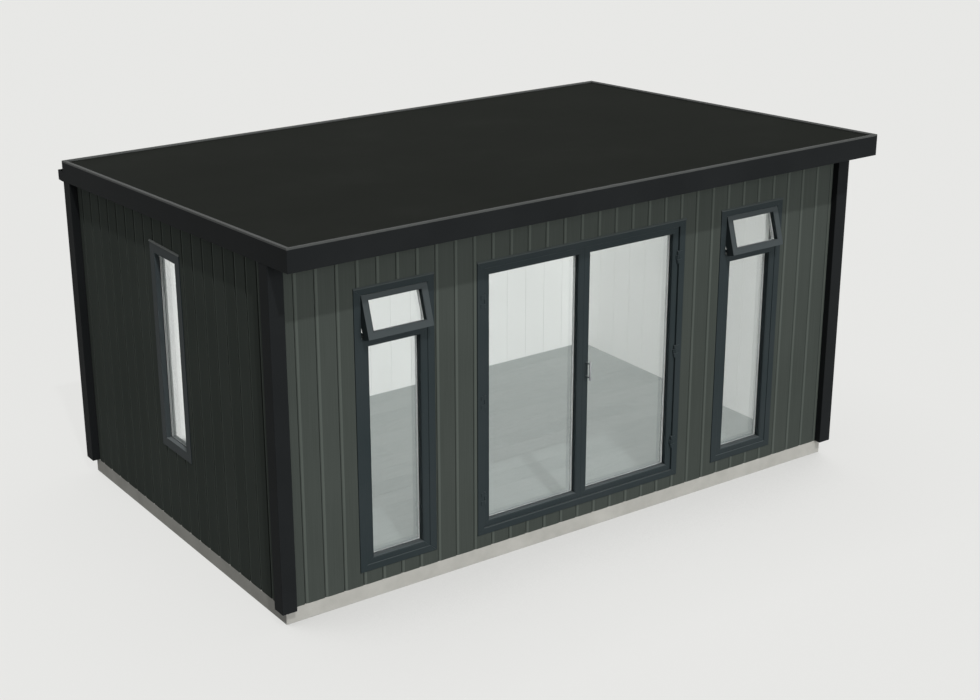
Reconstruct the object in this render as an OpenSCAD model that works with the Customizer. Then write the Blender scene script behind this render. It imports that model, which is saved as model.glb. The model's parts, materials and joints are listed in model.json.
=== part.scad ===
// Garden room with a flat falling roof, double doors and three slim windows.
// Millimetres, +Z up. The origin is the centre of the base's underside, and the doors face -Y.

/* [Body] */
// Width of the base and across the outer faces of the side walls
body_w = 4800; // [4400:100:6000]
// Depth of the base and across the outer faces of the front and rear walls
body_d = 2980; // [2400:20:4000]
// Height of the concrete base above the ground
base_h = 108; // [80:1:160]
// Thickness of the laminate floor with its underlay
floor_t = 12; // [6:1:20]

/* [Walls] */
// Thickness of the insulated wall panels
panel_t = 142; // [100:2:160]
// Thickness of the cladding boards
clad_t = 20; // [15:1:25]
// Side of the square corner posts
post_side = 108; // [90:2:120]

/* [Roof] */
// Height of the roof's front edge above the ground
roof_front_h = 2619; // [2560:1:2750]
// How far the roof falls from its front edge to its rear edge
roof_fall = 166; // [120:2:180]
// How far the roof reaches out over the front wall
overhang_front = 306; // [150:2:400]
// Height of the fascia boards with the edge trim
fascia_h = 157; // [145:1:170]
// Thickness of the fascia boards
fascia_t = 22; // [18:1:28]
// Width of the trim along the roof's edges
trim_w = 32; // [28:1:60]

/* [Openings] */
// Height of the door's and windows' lower edge above the ground
opening_bottom = 204; // [190:1:300]
// Height of the door's and windows' upper edge above the ground
opening_top = 2162; // [2100:1:2170]
// Width of the double door's frame
door_w = 1793; // [1600:1:1900]
// Width of each front window's frame
window_w = 600; // [500:5:640]
// Distance from a side wall's outer face to the nearer edge of the front window beside it
window_from_side = 564; // [400:1:564]
// Width of the side window's frame
side_window_w = 446; // [350:2:600]
// Height of the side window's lower edge above the ground
side_window_bottom = 672; // [300:2:1200]
// Height of an opening fanlight sash
fanlight_h = 284; // [240:2:400]
// Angle at which the fanlights stand open
fanlight_open = 17; // [0:1:25]

/* [Frames] */
// How far the frames stand proud of the cladding
frame_proud = 4; // [0:1:8]
// Visible width of the door's and windows' frames at the sides
frame_side = 52; // [45:1:60]
// Visible width of a door leaf's and sash's members
sash_face = 47; // [40:1:50]
// Depth of a door leaf and of a fixed sash
sash_t = 62; // [60:1:70]
// Depth of the leaf's face behind the frame's face
sash_recess = 13; // [12:1:16]
// Depth of the glass behind the leaf's face
glass_recess = 35; // [25:1:36]
// Thickness of the sealed double glazing
glass_t = 24; // [20:2:24]
// Clearance round a door leaf
leaf_gap = 5; // [5:0.5:8]
// Clearance between the two leaves at their front edges
meeting_gap = 6; // [6:0.5:10]

/* [Hardware] */
// Radius of the hinge knuckles
knuckle_r = 7; // [5:0.5:7]
// Height of one hinge knuckle
knuckle_h = 30; // [20:1:50]
// Length of the door's pull handles
handle_len = 140; // [100:5:400]
// Height of the handles' middle above the ground
handle_z = 1220; // [1000:10:1300]

/* [Hidden] */

// Half sizes of the body, and the planes that the parts are set from
half_w = body_w / 2;
half_d = body_d / 2;
post_proud = post_side / 2;
post_inner = post_side / 2;
wall_t = clad_t + panel_t;
floor_top = base_h + floor_t;
frame_y = -half_d - frame_proud;
sash_y = frame_y + sash_recess;
glass_y = sash_y + glass_recess;

// Roof outline and its build-up, as depths below the roof's top surface
roof_half_w = half_w + post_proud;
roof_y0 = -half_d - overhang_front;
roof_y1 = half_d + post_proud;
roof_slope = roof_fall / (roof_y1 - roof_y0);
trim_h = 12;
membrane_t = 4;
soffit_t = 9;
ceiling_t = 12;
// Bedding gap under a face that follows the roof's slope
bed = 0.2;
membrane_top = trim_h;
deck_top = membrane_top + membrane_t;
deck_bottom = fascia_h - soffit_t;

// Door and window layout
head_face = 42;
sill_face = 47;
window_x = half_w - window_from_side - window_w / 2;
door_half = door_w / 2;
leaf_outer = door_half - frame_side - leaf_gap;
leaf_inner = meeting_gap / 2;
leaf_bottom = opening_bottom + sill_face + leaf_gap;
leaf_top = opening_top - head_face - leaf_gap;
meeting_stile = sash_face + 1;
meeting_bevel = 3;
door_frame_behind = 15;
door_frame_depth = sash_recess + sash_t + door_frame_behind;
stop_w = 20;
stop_t = 10;
window_frame_behind = 3;
window_frame_depth = sash_recess + sash_t + window_frame_behind;
transom_h = 21;
fixed_side = 54;
fixed_bottom_rail = 48;
fixed_top_rail = 40;
fanlight_gap = 3;
fanlight_t = 70;
fanlight_glass_recess = 34;
fanlight_top_rail = 36;
fanlight_bottom_rail = 48;
fixed_recess = 5;
side_frame_face = 68;
side_glass_recess = 38;

// Hinge lines, near each leaf's outer edge and just behind the frame's face
hinge_inset = 3;
hinge_depth = 5;
hinge_x = leaf_outer - hinge_inset;
hinge_y = frame_y + hinge_depth;
knuckle_gap = 1;
hinge_from_end = 220;
hinge_levels = [leaf_bottom + hinge_from_end, (leaf_bottom + leaf_top) / 2,
    leaf_top - hinge_from_end];

// Gutter behind the rear fascia, with its downpipe
gutter_d = 85;
gutter_h = 75;
gutter_drop = 85;
gutter_wall = 3;
downpipe_side = 65;
downpipe_from_side = 150;
downpipe_x = half_w - downpipe_from_side;
downpipe_end = 60;

panel_colour = [0.9, 0.91, 0.9];
cladding_colour = [0.27, 0.29, 0.27];
frame_colour = [0.19, 0.22, 0.24];
black_colour = [0.12, 0.13, 0.14];
glass_colour = [0.75, 0.82, 0.8, 0.4];

// How far a cutting body reaches past what it cuts, and the steps round a turned part
past = 1;
round_steps = 48;

// Height of the roof's top surface at a given depth
function roof_z(y) = roof_front_h - roof_slope * (y - roof_y0);

// A box between two corners
module block(low, high) {
    translate(low) cube(high - low);
}

// A prism along X whose top follows the roof, bedded under what lies at a given depth below it
module under_roof(x, y, z0, below) {
    top = below + bed;
    translate([x[0], 0, 0]) rotate([90, 0, 90]) linear_extrude(height = x[1] - x[0])
        polygon([[y[0], z0], [y[1], z0], [y[1], roof_z(y[1]) - top], [y[0], roof_z(y[0]) - top]]);
}

// A sloping plate along X between two depths below the roof's top surface
module roof_plate(x, y, top, bottom) {
    translate([x[0], 0, 0]) rotate([90, 0, 90]) linear_extrude(height = x[1] - x[0])
        polygon([[y[0], roof_z(y[0]) - bottom], [y[1], roof_z(y[1]) - bottom],
            [y[1], roof_z(y[1]) - top], [y[0], roof_z(y[0]) - top]]);
}

// An upright rectangular ring that faces -Y; face is [side, bottom, top] member widths
module ring(x, z, y, face) {
    difference() {
        block([x[0], y[0], z[0]], [x[1], y[1], z[1]]);
        block([x[0] + face[0], y[0] - past, z[0] + face[1]],
            [x[1] - face[0], y[1] + past, z[1] - face[2]]);
    }
}

// ---- Base and floor ----

module base_slab() {
    color([0.66, 0.66, 0.63])
        block([-half_w, -half_d, 0], [half_w, half_d, base_h]);
}

module floor_boards() {
    color([0.61, 0.63, 0.62])
        block([wall_t - half_w, wall_t - half_d, base_h], [half_w - wall_t, half_d - wall_t, floor_top]);
}

// ---- Walls: the panels stand behind the cladding ----

// The panel or cladding beside the door, with the window's hole
module front_bay(y, below) {
    difference() {
        under_roof([-half_w + post_inner, -door_half], y, base_h, below);
        block([-window_x - window_w / 2, y[0] - past, opening_bottom],
            [-window_x + window_w / 2, y[1] + past, opening_top]);
    }
}

panel_y = [clad_t - half_d, wall_t - half_d];
clad_y = [-half_d, clad_t - half_d];

module front_wall_left() {
    color(panel_colour) front_bay(panel_y, deck_bottom);
}

module front_wall_right() {
    color(panel_colour) mirror([1, 0, 0]) front_bay(panel_y, deck_bottom);
}

module front_wall_header() {
    color(panel_colour) under_roof([-door_half, door_half], panel_y, opening_top, deck_bottom);
}

module front_wall_sill() {
    color(panel_colour)
        block([-door_half, panel_y[0], base_h], [door_half, panel_y[1], opening_bottom]);
}

// A side wall's panel or cladding on the left, between the depths y
module side_slab(x, y) {
    under_roof(x, y, base_h, deck_bottom);
}

module side_window_hole() {
    block([-half_w - past, -side_window_w / 2, side_window_bottom],
        [-half_w + wall_t + past, side_window_w / 2, opening_top]);
}

side_panel_x = [clad_t - half_w, wall_t - half_w];
side_panel_y = [wall_t - half_d, half_d - wall_t];
side_clad_x = [-half_w, clad_t - half_w];
side_clad_y = [post_inner - half_d, half_d - post_inner];

module left_wall() {
    color(panel_colour) difference() {
        side_slab(side_panel_x, side_panel_y);
        side_window_hole();
    }
}

module right_wall() {
    color(panel_colour) mirror([1, 0, 0]) side_slab(side_panel_x, side_panel_y);
}

module rear_wall() {
    color(panel_colour)
        under_roof([post_inner - half_w, half_w - post_inner], [half_d - wall_t, half_d - clad_t],
            base_h, deck_bottom);
}

// ---- Cladding: plain slabs for the upright boards ----

module front_cladding_left() {
    color(cladding_colour) front_bay(clad_y, deck_bottom);
}

module front_cladding_right() {
    color(cladding_colour) mirror([1, 0, 0]) front_bay(clad_y, deck_bottom);
}

module front_cladding_header() {
    color(cladding_colour) under_roof([-door_half, door_half], clad_y, opening_top, deck_bottom);
}

module front_cladding_sill() {
    color(cladding_colour)
        block([-door_half, clad_y[0], base_h], [door_half, clad_y[1], opening_bottom]);
}

module left_cladding() {
    color(cladding_colour) difference() {
        side_slab(side_clad_x, side_clad_y);
        side_window_hole();
    }
}

module right_cladding() {
    color(cladding_colour) mirror([1, 0, 0]) side_slab(side_clad_x, side_clad_y);
}

module rear_cladding() {
    color(cladding_colour)
        under_roof([post_inner - half_w, half_w - post_inner], [half_d - clad_t, half_d],
            base_h, deck_bottom);
}

// ---- Roof ----

roof_inner_x = [fascia_t - roof_half_w, roof_half_w - fascia_t];
roof_inner_y = [roof_y0 + fascia_t, roof_y1 - fascia_t];
roof_x = [-roof_half_w, roof_half_w];
roof_y = [roof_y0, roof_y1];

module ceiling() {
    color([0.93, 0.93, 0.92])
        roof_plate([wall_t - half_w, half_w - wall_t], side_panel_y, deck_bottom + bed,
            deck_bottom + ceiling_t);
}

module roof_deck() {
    color([0.72, 0.62, 0.45]) roof_plate(roof_inner_x, roof_inner_y, deck_top, deck_bottom);
}

module soffit() {
    color(black_colour) difference() {
        roof_plate(roof_inner_x, roof_inner_y, deck_bottom, fascia_h);
        roof_plate([-half_w, half_w], [-half_d, half_d], deck_bottom - past, fascia_h + past);
    }
}

module roof_membrane() {
    color([0.15, 0.16, 0.15]) roof_plate(roof_inner_x, roof_inner_y, membrane_top, deck_top);
}

module roof_edge_trim() {
    color([0.33, 0.34, 0.34]) difference() {
        roof_plate(roof_x, roof_y, 0, trim_h - bed);
        roof_plate([trim_w - roof_half_w, roof_half_w - trim_w], [roof_y0 + trim_w, roof_y1 - trim_w],
            -past, trim_h + past);
    }
}

module front_fascia() {
    color(black_colour) roof_plate(roof_x, [roof_y0, roof_y0 + fascia_t], trim_h, fascia_h);
}

module left_fascia() {
    color(black_colour)
        roof_plate([-roof_half_w, fascia_t - roof_half_w], roof_inner_y, trim_h, fascia_h);
}

module right_fascia() {
    color(black_colour) mirror([1, 0, 0])
        roof_plate([-roof_half_w, fascia_t - roof_half_w], roof_inner_y, trim_h, fascia_h);
}

module rear_fascia() {
    color(black_colour) roof_plate(roof_x, [roof_y1 - fascia_t, roof_y1], trim_h, fascia_h);
}

// A box gutter, open at the top, with a square downpipe that ends above the ground
gutter_top = roof_z(roof_y1) - gutter_drop;
gutter_bottom = gutter_top - gutter_h;
gutter_y = [roof_y1, roof_y1 + gutter_d];

module rear_gutter() {
    pipe_y = (gutter_y[0] + gutter_y[1]) / 2;
    color(black_colour) {
        difference() {
            block([-roof_half_w, gutter_y[0], gutter_bottom], [roof_half_w, gutter_y[1], gutter_top]);
            block([gutter_wall - roof_half_w, gutter_y[0] + gutter_wall, gutter_bottom + gutter_wall],
                [roof_half_w - gutter_wall, gutter_y[1] - gutter_wall, gutter_top + past]);
        }
        block([downpipe_x - downpipe_side / 2, pipe_y - downpipe_side / 2, downpipe_end],
            [downpipe_x + downpipe_side / 2, pipe_y + downpipe_side / 2, gutter_bottom]);
    }
}

// ---- Corner posts, centred on the wall corners ----

module corner_post(y) {
    color(black_colour) under_roof([-half_w - post_proud, post_inner - half_w], y, base_h, fascia_h);
}

front_post_y = [-half_d - post_proud, post_inner - half_d];
rear_post_y = [half_d - post_inner, half_d + post_proud];

module front_left_post() {
    corner_post(front_post_y);
}

module front_right_post() {
    mirror([1, 0, 0]) corner_post(front_post_y);
}

module rear_left_post() {
    corner_post(rear_post_y);
}

module rear_right_post() {
    mirror([1, 0, 0]) corner_post(rear_post_y);
}

// ---- Double door ----

module door_frame() {
    y1 = frame_y + door_frame_depth;
    color(frame_colour) union() {
        ring([-door_half, door_half], [opening_bottom, opening_top], [frame_y, y1],
            [frame_side, sill_face, head_face]);
        ring([-door_half, door_half], [opening_bottom, opening_top], [y1 - stop_t, y1],
            [frame_side + stop_w, sill_face + stop_w, head_face + stop_w]);
    }
}

// One knuckle on the left hinge line, with its lower end at the height z
module knuckle(z) {
    translate([-hinge_x, hinge_y, z]) cylinder(r = knuckle_r, h = knuckle_h, $fn = round_steps);
}

// The left leaf: a frame of stiles and rails whose meeting edge is bevelled, with its hinge knuckles
module leaf() {
    color(frame_colour) union() {
        difference() {
            translate([0, 0, leaf_bottom]) linear_extrude(height = leaf_top - leaf_bottom)
                polygon([[-leaf_outer, sash_y], [-leaf_inner, sash_y],
                    [-leaf_inner - meeting_bevel, sash_y + sash_t], [-leaf_outer, sash_y + sash_t]]);
            block([sash_face - leaf_outer, sash_y - past, leaf_bottom + sash_face],
                [-leaf_inner - meeting_stile, sash_y + sash_t + past, leaf_top - sash_face]);
        }
        for (z = hinge_levels) {
            knuckle(z - knuckle_h / 2);
            block([-hinge_x - hinge_inset, hinge_y, z - knuckle_h / 2],
                [-hinge_x + 2 * knuckle_r, sash_y + past, z + knuckle_h / 2]);
        }
    }
}

module leaf_glass() {
    color(glass_colour)
        block([sash_face - leaf_outer, glass_y, leaf_bottom + sash_face],
            [-leaf_inner - meeting_stile, glass_y + glass_t, leaf_top - sash_face]);
}

module door_leaf_left() {
    leaf();
}

module door_leaf_right() {
    mirror([1, 0, 0]) leaf();
}

module door_glass_left() {
    leaf_glass();
}

module door_glass_right() {
    mirror([1, 0, 0]) leaf_glass();
}

// An upright pull bar on two short stand-offs
module pull(y_face, out) {
    bar_r = 7;
    stand_off_r = 4;
    stand_off_inset = 20;
    reach = 42;
    off_middle = 8;
    x = leaf_inner + meeting_stile / 2 + off_middle;
    translate([x, y_face + out * reach, handle_z - handle_len / 2])
        cylinder(r = bar_r, h = handle_len, $fn = round_steps);
    for (end = [-1, 1])
        translate([x, y_face, handle_z + end * (handle_len / 2 - stand_off_inset)])
            rotate([out * -90, 0, 0]) cylinder(r = stand_off_r, h = reach, $fn = round_steps);
}

module door_handles() {
    color([0.6, 0.61, 0.62]) {
        pull(sash_y, -1);
        pull(sash_y + sash_t, 1);
    }
}

// The hinge knuckles that stay on the frame, each with its leaf screwed to the frame's face
module frame_knuckle(z) {
    plate_t = 3;
    plate_w = 26;
    knuckle(z);
    block([-door_half + frame_side - plate_w, frame_y - plate_t, z],
        [-hinge_x, frame_y, z + knuckle_h]);
}

module hinge_set() {
    for (z = hinge_levels) {
        frame_knuckle(z + knuckle_h / 2 + knuckle_gap);
        frame_knuckle(z - 3 * knuckle_h / 2 - knuckle_gap);
    }
}

module door_hinges() {
    color(black_colour) {
        hinge_set();
        mirror([1, 0, 0]) hinge_set();
    }
}

// ---- Front windows: a fixed lower pane under a top-hung fanlight ----

window_edges = [-window_x - window_w / 2, -window_x + window_w / 2];
window_inner = [window_edges[0] + frame_side, window_edges[1] - frame_side];
fanlight_top = opening_top - head_face - fanlight_gap;
transom_top = fanlight_top - fanlight_h - fanlight_gap;
fixed_z = [opening_bottom + sill_face, transom_top - transom_h];

module front_window() {
    color(frame_colour) union() {
        ring(window_edges, [opening_bottom, opening_top], [frame_y, frame_y + window_frame_depth],
            [frame_side, sill_face, head_face]);
        block([window_inner[0] - past, frame_y, fixed_z[1]],
            [window_inner[1] + past, frame_y + window_frame_depth, transom_top]);
        ring([window_inner[0] - past, window_inner[1] + past], [fixed_z[0] - past, fixed_z[1] + past],
            [frame_y + fixed_recess, sash_y + sash_t],
            [fixed_side + past, fixed_bottom_rail + past, fixed_top_rail + past]);
    }
}

// Places a sash drawn from its upper front edge at the angle it stands open
module opened() {
    translate([0, frame_y, fanlight_top]) rotate([-fanlight_open, 0, 0]) children();
}

module fanlight() {
    x = [window_inner[0] + fanlight_gap, window_inner[1] - fanlight_gap];
    color(frame_colour)
        opened() ring(x, [-fanlight_h, 0], [0, fanlight_t],
            [sash_face, fanlight_bottom_rail, fanlight_top_rail]);
}

module front_glass() {
    face = fanlight_gap + sash_face;
    color(glass_colour) {
        block([window_inner[0] + fixed_side, glass_y, fixed_z[0] + fixed_bottom_rail],
            [window_inner[1] - fixed_side, glass_y + glass_t, fixed_z[1] - fixed_top_rail]);
        opened()
            block([window_inner[0] + face, fanlight_glass_recess, fanlight_bottom_rail - fanlight_h],
                [window_inner[1] - face, fanlight_glass_recess + glass_t, -fanlight_top_rail]);
    }
}

module front_window_left() {
    front_window();
}

module front_window_right() {
    mirror([1, 0, 0]) front_window();
}

module fanlight_left() {
    fanlight();
}

module fanlight_right() {
    mirror([1, 0, 0]) fanlight();
}

module front_glass_left() {
    front_glass();
}

module front_glass_right() {
    mirror([1, 0, 0]) front_glass();
}

// ---- Side window: fixed, in the left wall ----

// Turns a piece drawn facing -Y at the front so that it faces -X in the left wall
module to_left_wall() {
    translate([half_d - half_w, 0, 0]) rotate([0, 0, -90]) children();
}

side_edges = [-side_window_w / 2, side_window_w / 2];

module side_window() {
    color(frame_colour) to_left_wall()
        ring(side_edges, [side_window_bottom, opening_top], [frame_y, frame_y + window_frame_depth],
            [side_frame_face, side_frame_face, side_frame_face]);
}

module side_glass() {
    y = frame_y + side_glass_recess;
    color(glass_colour) to_left_wall()
        block([side_edges[0] + side_frame_face, y, side_window_bottom + side_frame_face],
            [side_edges[1] - side_frame_face, y + glass_t, opening_top - side_frame_face]);
}

base_slab();
floor_boards();  // floor
front_wall_left();
front_wall_right();
front_wall_header();
front_wall_sill();
left_wall();
right_wall();
rear_wall();
front_cladding_left();
front_cladding_right();
front_cladding_header();
front_cladding_sill();
left_cladding();
right_cladding();
rear_cladding();
ceiling();
roof_deck();
soffit();
roof_membrane();
roof_edge_trim();
front_fascia();
left_fascia();
right_fascia();
rear_fascia();
rear_gutter();
front_left_post();
front_right_post();
rear_left_post();
rear_right_post();
door_frame();
door_leaf_left();
door_leaf_right();
door_glass_left();
door_glass_right();
door_handles();
door_hinges();
front_window_left();
front_window_right();
fanlight_left();
fanlight_right();
front_glass_left();
front_glass_right();
side_window();
side_glass();
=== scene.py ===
# %% [markdown]
# # A garden room
# This lesson finishes a small flat-roofed building. Its construction is already settled: a frame of
# plain solids gives every part's true size and place. Here each part gets what the plain solid
# leaves out, such as the joints between boards, the glass, the rubber seals and the finishes.
# Everything is in metres, with the ground at height zero and the doors facing -Y.

# %% The frame of plain solids
import json
import math
import random

import bmesh
import bpy
from mathutils import Matrix, Vector


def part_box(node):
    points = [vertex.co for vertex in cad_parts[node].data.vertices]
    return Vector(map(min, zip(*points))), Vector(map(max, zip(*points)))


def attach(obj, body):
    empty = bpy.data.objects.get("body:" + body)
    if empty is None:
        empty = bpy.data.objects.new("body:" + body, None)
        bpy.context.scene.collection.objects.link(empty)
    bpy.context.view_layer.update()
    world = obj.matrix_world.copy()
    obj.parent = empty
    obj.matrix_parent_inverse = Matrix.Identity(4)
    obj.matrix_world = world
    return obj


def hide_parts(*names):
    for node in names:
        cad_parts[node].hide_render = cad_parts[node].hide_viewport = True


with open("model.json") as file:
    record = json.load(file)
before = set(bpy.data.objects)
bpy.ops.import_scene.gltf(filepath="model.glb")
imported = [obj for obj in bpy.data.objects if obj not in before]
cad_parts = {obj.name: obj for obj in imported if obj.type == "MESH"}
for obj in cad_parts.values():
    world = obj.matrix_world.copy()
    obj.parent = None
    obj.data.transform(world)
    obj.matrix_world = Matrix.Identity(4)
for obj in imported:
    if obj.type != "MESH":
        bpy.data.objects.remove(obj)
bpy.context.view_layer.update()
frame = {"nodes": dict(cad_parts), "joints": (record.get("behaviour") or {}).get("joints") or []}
scene = bpy.context.scene
MM = 0.001

# %% [markdown]
# ## Sizes that everything else uses
# Walls, frames and boards are set from the boxes of the plain solids. The roof falls from front to
# back, so a height under it depends on the depth y. One function reads that line off any part
# whose top follows the roof: it takes the highest points at the part's front and rear ends.

# %% Boxes and the roof's line
def top_line(node):
    """The height of a part's top as a function of the depth y."""
    points = [v.co for v in frame["nodes"][node].data.vertices]
    front = min(p.y for p in points)
    rear = max(p.y for p in points)
    front_top = max(p.z for p in points if p.y < front + MM)
    rear_top = max(p.z for p in points if p.y > rear - MM)
    return lambda y: front_top + (rear_top - front_top) * (y - front) / (rear - front)


def thickness(node):
    """How thick a sloping part is, measured upright at its front end."""
    points = [v.co for v in frame["nodes"][node].data.vertices]
    front = min(p.y for p in points)
    heights = [p.z for p in points if p.y < front + MM]
    return max(heights) - min(heights)


base_low, base_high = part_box("base_slab")
floor_low, floor_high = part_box("floor")
trim_low, trim_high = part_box("roof_edge_trim")
roof_top = top_line("roof_edge_trim")
wall_top = top_line("left_wall")
base_top = base_high.z
floor_top = floor_high.z
print("base", [round(v, 3) for v in base_high - base_low])
print("roof falls", round(roof_top(trim_low.y) - roof_top(trim_high.y), 3), "m to the rear")

# %% [markdown]
# ## Helpers for solids
# Almost every part of a building is a bar: an outline that is swept in a straight line. A bar can
# stand, like a board, or be one side of a picture frame, with its ends cut at a mitre. Both are made
# here as closed solids, point by point, because a closed mesh keeps its true thickness and can be
# cut with a Boolean. Curves with a bevel object would be quicker to write but can't have mitred ends.

# %% Outlines
def plan_at(plan, height):
    """An outline seen from above, at a height."""
    return [Vector((x, y, height)) for x, y in plan]


def section_at(section, x):
    """An outline seen from the side, at a place along x."""
    return [Vector((x, y, z)) for y, z in section]

# %% Bars, boxes and rods
def add_bar(bm, start, end, finish=None):
    """A closed bar between two outlines; finish names the material of some of its sides."""
    first = [bm.verts.new(p) for p in start]
    last = [bm.verts.new(p) for p in end]
    count = len(first)
    for i in range(count):
        j = (i + 1) % count
        side = bm.faces.new((first[i], first[j], last[j], last[i]))
        side.material_index = (finish or {}).get(i, 0)
    bm.faces.new(first[::-1])
    bm.faces.new(last)


def add_box(bm, low, high, round_by=0.0):
    """A box between two corners, with its edges rounded off."""
    made = bmesh.ops.create_cube(bm, size=1.0)["verts"]
    middle = (Vector(low) + Vector(high)) / 2
    size = Vector(high) - Vector(low)
    for vert in made:
        vert.co = Vector((vert.co.x * size.x, vert.co.y * size.y, vert.co.z * size.z)) + middle
    if round_by > 0:
        edges = list(dict.fromkeys(edge for vert in made for edge in vert.link_edges))
        bmesh.ops.bevel(bm, geom=edges, offset=round_by, segments=2, affect="EDGES", profile=0.5)


def add_rod(bm, start, end, radius, sides=24):
    """A round rod between two points."""
    axis = Vector(end) - Vector(start)
    turn = axis.to_track_quat("Z", "Y").to_matrix().to_4x4()
    place = Matrix.Translation((Vector(start) + Vector(end)) / 2) @ turn
    bmesh.ops.create_cone(bm, cap_ends=True, segments=sides, radius1=radius, radius2=radius,
                          depth=axis.length, matrix=place)

# %% Mitred rings
def ring_bars(rect, widths, outline, place, mitre_gap=0.3 * MM):
    """The four mitred bars of a frame. rect is (left, right, bottom, top) and widths gives the
    left, right, bottom and top members' face widths; outline(width) lists (inward, behind)."""
    left, right, bottom, top = rect
    rounds = []
    for on_left, on_right, on_foot, on_head in zip(*[outline(width) for width in widths]):
        x0, x1 = left + on_left[0], right - on_right[0]
        z0, z1 = bottom + on_foot[0], top - on_head[0]
        rounds.append((((x0, z0), (x1, z0), (x1, z1), (x0, z1)), on_left[1]))
    bars = []
    for one, two in ((3, 0), (1, 2), (0, 1), (2, 3)):
        start, end = [], []
        for corners, behind in rounds:
            first = Vector(corners[one])
            last = Vector(corners[two])
            trim = (last - first).normalized() * mitre_gap
            start.append(place(first.x + trim.x, behind, first.y + trim.y))
            end.append(place(last.x - trim.x, behind, last.y - trim.y))
        bars.append((start, end))
    return bars

# %% Pieces and openings
def make_piece(name, bm, body, materials, replaces=()):
    """A named object from a bmesh, riding on a body, with its materials; the plain solids that it replaces
    are hidden.
    """
    bmesh.ops.recalc_face_normals(bm, faces=bm.faces)
    mesh = bpy.data.meshes.new(name)
    bm.to_mesh(mesh)
    bm.free()
    piece = bpy.data.objects.new(name, mesh)
    scene.collection.objects.link(piece)
    for material in materials:
        mesh.materials.append(material)
    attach(piece, body)
    if replaces:
        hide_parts(*replaces)
    print(name, len(mesh.polygons), "faces")
    return piece


def cut_openings(piece, boxes):
    """Cuts boxes out of a piece for good, with an exact Boolean."""
    bm = bmesh.new()
    for low, high in boxes:
        add_box(bm, low, high)
    mesh = bpy.data.meshes.new("cutter")
    bm.to_mesh(mesh)
    bm.free()
    cutter = bpy.data.objects.new("cutter", mesh)
    scene.collection.objects.link(cutter)
    cut = piece.modifiers.new("opening", "BOOLEAN")
    cut.operation = "DIFFERENCE"
    cut.solver = "EXACT"
    cut.object = cutter
    bpy.context.view_layer.update()
    ready = piece.evaluated_get(bpy.context.evaluated_depsgraph_get())
    result = bpy.data.meshes.new_from_object(ready)
    piece.modifiers.clear()
    piece.data = result
    bpy.data.objects.remove(cutter)
    print(piece.name, "cut by", len(boxes), "boxes:", len(result.polygons), "faces")

# %% [markdown]
# ## Helpers for materials
# Colours are written as sRGB hex values, as on a paint card, and one function turns them into the
# linear values that the shaders work in. One more function adds a node, sets its values and links
# it, so that each material below reads as a short list of what it is made of.

# %% Colours
def linear(hex_colour):
    """A hex colour as linear red, green, blue and alpha."""
    parts = [int(hex_colour[i:i + 2], 16) / 255 for i in (1, 3, 5)]
    return tuple(c / 12.92 if c <= 0.04045 else ((c + 0.055) / 1.055) ** 2.4 for c in parts) + (1.0,)


print("mid grey #808080 as a linear value:", round(linear("#808080")[0], 3))

# %% Nodes
def add_node(tree, kind, values=None, links=None):
    """Adds a node. values sets sockets or properties by name; links feeds sockets from another
    node's output, or from a node, which stands for its first output."""
    node = tree.nodes.new(kind)
    sockets = {}
    for socket in list(node.inputs)[::-1]:
        sockets[socket.name] = socket
        sockets[socket.identifier] = socket
    for name, value in (values or {}).items():
        if name == "stops":
            ramp = node.color_ramp
            ramp.elements.remove(ramp.elements[1])
            ramp.elements[0].position = value[0][0]
            ramp.elements[0].color = linear(value[0][1])
            for position, colour in value[1:]:
                ramp.elements.new(position).color = linear(colour)
        elif name in sockets:
            sockets[name].default_value = value
        else:
            setattr(node, name, value)
    for name, source in (links or {}).items():
        output = source.outputs[0] if isinstance(source, bpy.types.Node) else source
        tree.links.new(output, sockets[name])
    return node

# %% Materials
def new_material(name):
    """An empty node material's tree, and the piece's own coordinates in metres inside it."""
    material = bpy.data.materials.new(name)
    material.use_nodes = True
    tree = material.node_tree
    tree.nodes.clear()
    where = add_node(tree, "ShaderNodeTexCoord").outputs["Object"]
    return material, tree, where


def close_material(tree, colour, height, bump_depth, values):
    """Joins a pattern's colour and relief to a Principled shader and the output."""
    bump = add_node(tree, "ShaderNodeBump", {"Distance": bump_depth}, {"Height": height})
    shader = add_node(tree, "ShaderNodeBsdfPrincipled", values, {"Base Color": colour, "Normal": bump})
    add_node(tree, "ShaderNodeOutputMaterial", {}, {"Surface": shader})

# %% [markdown]
# ## Camera
# The camera stands in front and to the left, about two storeys up, and looks down at the building.
# Its lens is long, so upright edges stay nearly parallel. Two angles turn it: one round from
# straight ahead to the right, and one down from the horizon.

# %% Camera
camera_turn = 35.4067
camera_down = 20.3554
camera_place = Vector((-7.111, -10.376, 5.591))
camera_lens = 64.42
camera_data = bpy.data.cameras.new("camera")
camera_data.lens = camera_lens
camera_data.sensor_width = 36.0
camera = bpy.data.objects.new("camera", camera_data)
camera.location = camera_place
camera.rotation_euler = (math.radians(90 - camera_down), 0.0, math.radians(-camera_turn))
scene.collection.objects.link(camera)
scene.camera = camera
scene.view_settings.view_transform = "Standard"
print("camera at", tuple(round(v, 2) for v in camera_place), "lens", camera_lens)

# %% [markdown]
# ## Light
# A plain outdoor studio. One small sun stands in front, a little to the left and high, and draws
# the roof's shadow on the front wall. A second, very wide sun is a soft box for the front: like all
# suns it lights every part at the same level, which a lamp at a real distance can't do. The world
# fills the rest and shows as a pale grey wall behind the building, in glass and in metal as well.

# %% Suns
def add_sun(name, travels, strength, spread):
    """A sun whose light travels in a given direction; spread is its width in the sky in degrees."""
    lamp = bpy.data.lights.new(name, "SUN")
    lamp.energy = strength
    lamp.angle = math.radians(spread)
    sun = bpy.data.objects.new(name, lamp)
    sun.rotation_euler = Vector(travels).to_track_quat("-Z", "Y").to_euler()
    scene.collection.objects.link(sun)
    return sun


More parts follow.
